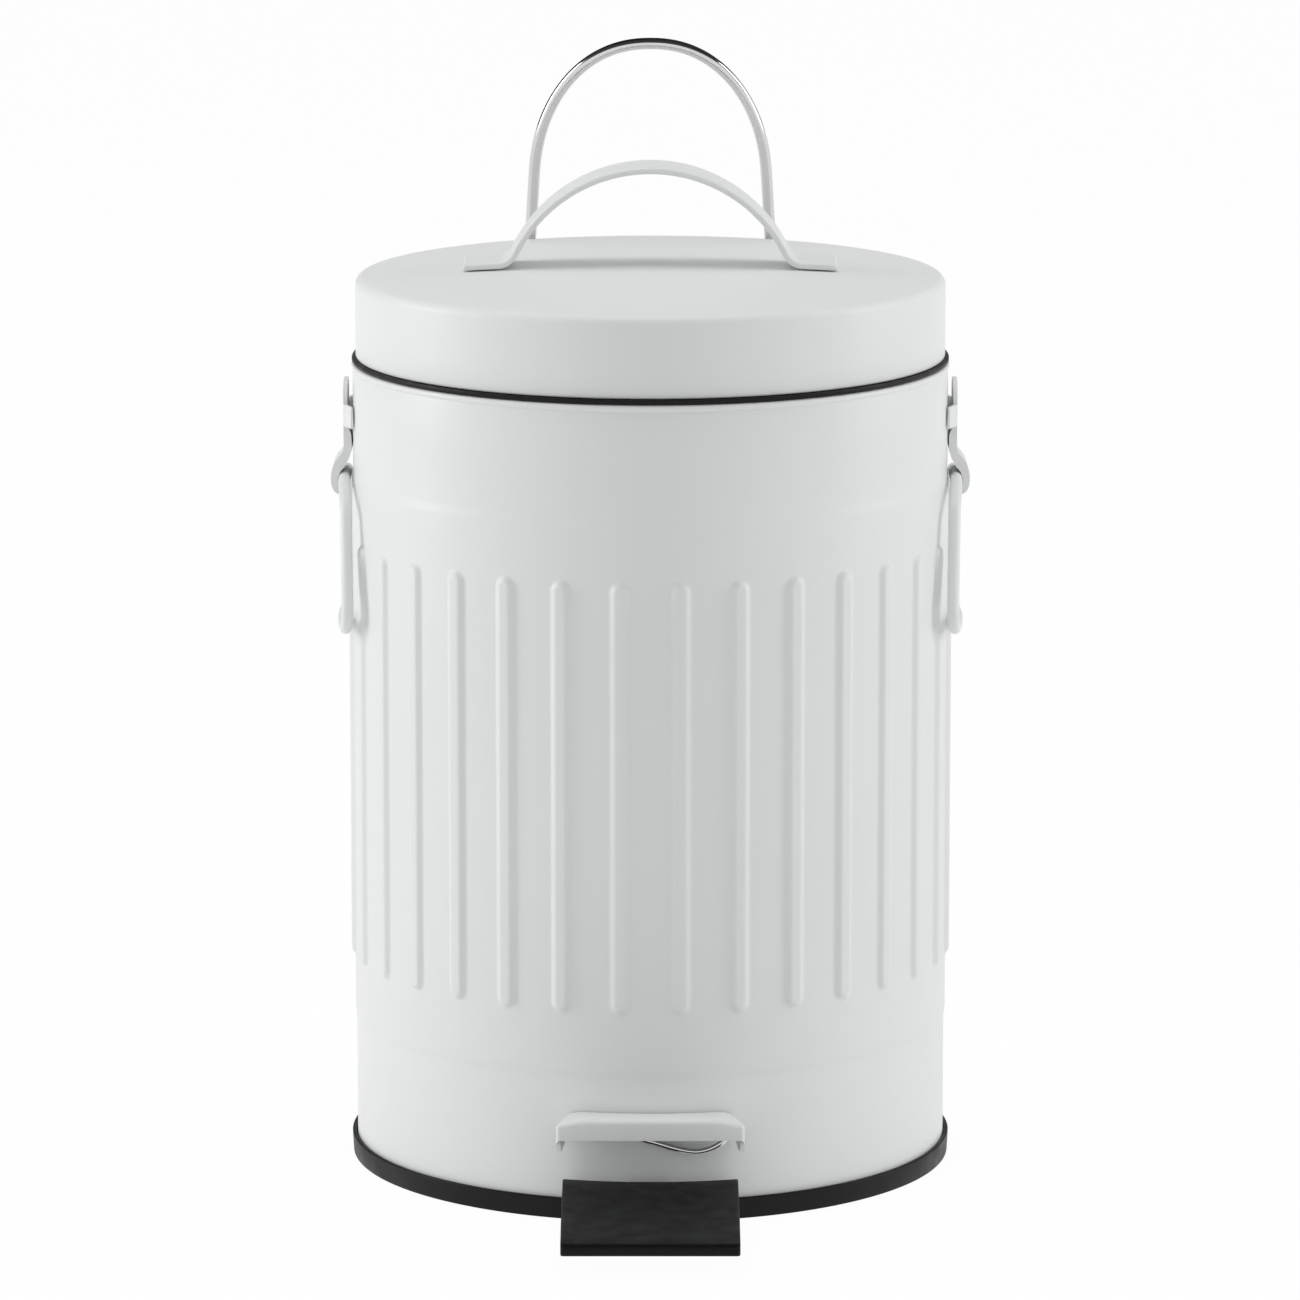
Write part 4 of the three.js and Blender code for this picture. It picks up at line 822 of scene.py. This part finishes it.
zinc, tree, main = dressed("bright_zinc", (0.5, 0.51, 0.53), 0.36, 1.0)
tint(tree, grain(tree, 0.012, 4), (0.42, 0.43, 0.45), (0.56, 0.57, 0.58), main.inputs["Base Color"])
spread(tree, grain(tree, 0.004, 3), 0.28, 0.46, main.inputs["Roughness"])
relief(tree, grain(tree, 0.001), 0.00001, 0.3, main)

fold_down = [(-73.7, 0.0), (-77.2, 0.0)]
for i in range(7):
    t = i / 6
    fold_down.append(tuple(
        (1 - t) ** 2 * p + 2 * t * (1 - t) * q + t * t * r
        for p, q, r in zip((-77.2, 0.0), (-79.8, 0.0), (-79.76, -2.6))
    ))
swing = [math.radians(180 + 1.87 + (180 - 2 * 1.87) * i / 72) for i in range(73)]
fold_down += [(79.8 * math.cos(a), 79.8 * math.sin(a)) for a in swing]
fold_down += [(-x, y) for x, y in reversed(fold_down[:9])]
made(
    wire([(x, y, 235.7) for x, y in fold_down], 1.18, 14), "bucket_wire", "bucket_handle", "zinc_steel", zinc,
    "bucket_bail",
)

# --------------------------------------------------------- the hinge bracket
# Sheet steel wrapped round the neck behind, its two ends turned out into cheeks
# that carry the hinge pin, riveted on before the body was coated.


def refined(node, edge, above=40):
    """A pressed piece from its solid, its facets joined and its edges rounded."""
    bm = bmesh.new()
    bm.from_mesh(nodes[node].data)
    bmesh.ops.transform(bm, matrix=to_frame.inverted(), verts=bm.verts[:])
    bmesh.ops.remove_doubles(bm, verts=bm.verts[:], dist=0.002)
    flat_turn = math.radians(0.5)
    bmesh.ops.dissolve_limit(bm, angle_limit=flat_turn, verts=bm.verts[:], edges=bm.edges[:])
    soften(bm, edge, 2, above)
    return bm


made(refined("hinge_bracket", 0.25), "hinge_pressing", "bin", "white_coat", white_coat, "hinge_bracket")

# ---------------------------------------------------------------- the rivets
# Four zinc-plated steel rivets with domed heads, two through the bracket and two
# through the lid and the leaf of its hinge.


def rivet(x, z, inner, outer):
    """A rivet through the back wall, from its inner to its outer radius."""
    dome = [(1.0, 1.06), (1.75, 0.86), (2.2, 0.5), (2.4, 0.0)]
    profile = [(0, inner - 1.1)] + [(r, inner - h) for r, h in dome]
    profile += [(1.2, inner), (1.2, outer)]
    profile += [(r, outer + h) for r, h in reversed(dome)] + [(0, outer + 1.1)]
    bm = spun(profile, 32, closed=False)
    aim = Matrix.Rotation(-math.asin(x / band_radius), 4, "Z") @ Matrix.Rotation(-math.pi / 2, 4, "X")
    bmesh.ops.transform(bm, matrix=Matrix.Translation((0, 0, z)) @ aim, verts=bm.verts[:])
    return bm


for side, word in ((-1, "left"), (1, "right")):
    shank = rivet(side * 18, 216.0, 83.55, 86.25)
    made(shank, f"neck_rivet_{word}", "bin", "zinc_steel", zinc, f"bracket_rivet_{word}")
    shank = rivet(side * 12, 243.0, 82.7, 85.4)
    made(shank, f"leaf_rivet_{word}", "lid", "zinc_steel", zinc, f"lid_rivet_{word}")

# -------------------------------------------------------------- the lid hinge
# A zinc-plated leaf riveted to the lid, with two ears, a barrel on the pin and
# the finger that the push rod lifts.
made(refined("lid_hinge", 0.2), "lid_leaf", "lid", "zinc_steel", zinc, "lid_hinge")

# ---------------------------------------------------------- the hinge pin and cap
# A headed steel pin through bracket, hinge and bail, chromed, held by a cap that
# is pushed on its other end.
pin = along_x([
    (0, -40.8), (1.6, -40.78), (2.35, -40.55), (2.72, -40.2), (2.8, -39.8), (2.7, -39.5),
    (1.5, -39.5), (1.5, 40.4), (1.3, 40.7), (0, 40.8),
], closed=False)
bmesh.ops.translate(pin, verts=pin.verts[:], vec=(0, pin_y, pin_z))
made(pin, "headed_pin", "bin", "chrome", bright_chrome, "hinge_pin")
cap = along_x([
    (0, 42.2), (1.5, 42.15), (2.3, 41.85), (2.7, 41.3), (2.8, 40.6), (2.8, 39.7), (2.65, 39.5),
    (1.95, 39.5), (1.8, 39.65), (1.8, 41.1), (0, 41.1),
], closed=False)
bmesh.ops.translate(cap, verts=cap.verts[:], vec=(0, pin_y, pin_z))
made(cap, "push_on_cap", "bin", "chrome", bright_chrome, "pin_cap")

# -------------------------------------------------------------- the floor pan
# A shallow zinc-plated pan pressed into the foot, open below, which stiffens the
# body and carries the pedal's yoke.
made(refined("floor_pan", 0.4), "foot_pan", "bin", "zinc_steel", zinc, "floor_pan")

# -------------------------------------------------- the yoke and the lever's pin
# A bent steel yoke welded under the pan, and a pin with a head on both ends.
made(refined("pivot_yoke", 0.3), "pedal_yoke", "bin", "zinc_steel", zinc, "pivot_yoke")
half_pin = [(1.5, 8.3), (2.7, 8.3), (2.8, 8.6), (2.72, 9.1), (2.3, 9.45), (1.5, 9.6), (0, 9.6)]
pin = along_x([(r, -x) for r, x in reversed(half_pin)] + half_pin, closed=False)
bmesh.ops.translate(pin, verts=pin.verts[:], vec=(0, -77.0, 7.2))
made(pin, "two_headed_pin", "bin", "zinc_steel", zinc, "lever_pin")

# ------------------------------------------------------------ the pedal lever
# A channel of zinc-plated strip from inside the pedal to the foot of the rod.
made(refined("pedal_lever", 0.3), "lever_strip", "pedal", "zinc_steel", zinc, "pedal_lever")

# ------------------------------------------------- the push rod and its guide
# Zinc-plated wire up the inside of the back wall, upset to a head at both ends,
# and the bent clip welded to the wall that it slides in.
rod_low, rod_high = 8.65, 213.43
rod = spun([
    (0, rod_low), (1.4, rod_low), (2.0, rod_low + 0.3), (2.1, rod_low + 0.8), (2.1, rod_low + 1.5),
    (1.6, rod_low + 2.2), (1.6, rod_high - 2.4), (2.2, rod_high - 1.8), (2.2, rod_high - 0.6),
    (2.0, rod_high - 0.2), (1.5, rod_high), (0, rod_high),
], 28, closed=False)
bmesh.ops.translate(rod, verts=rod.verts[:], vec=(0, 80.2, 0))
made(rod, "lift_rod", "rod", "zinc_steel", zinc, "push_rod")
made(refined("rod_guide", 0.2), "rod_clip", "bin", "zinc_steel", zinc, "rod_guide")

# ------------------------------------------------- the solids behind the pieces
# Every solid is covered by a piece above. Each still wears its own finish.
finishes = {
    "white_coat": white_coat, "black_plastic": black_plastic, "chrome": bright_chrome,
    "zinc_steel": zinc, "pad_plastic": pad_plastic, "bucket_plastic": bucket_plastic,
}
for row in frame["record"]["subparts"]:
    node = nodes[row["node"]]
    node.data.materials.clear()
    node.data.materials.append(finishes[row["material_slot"]])
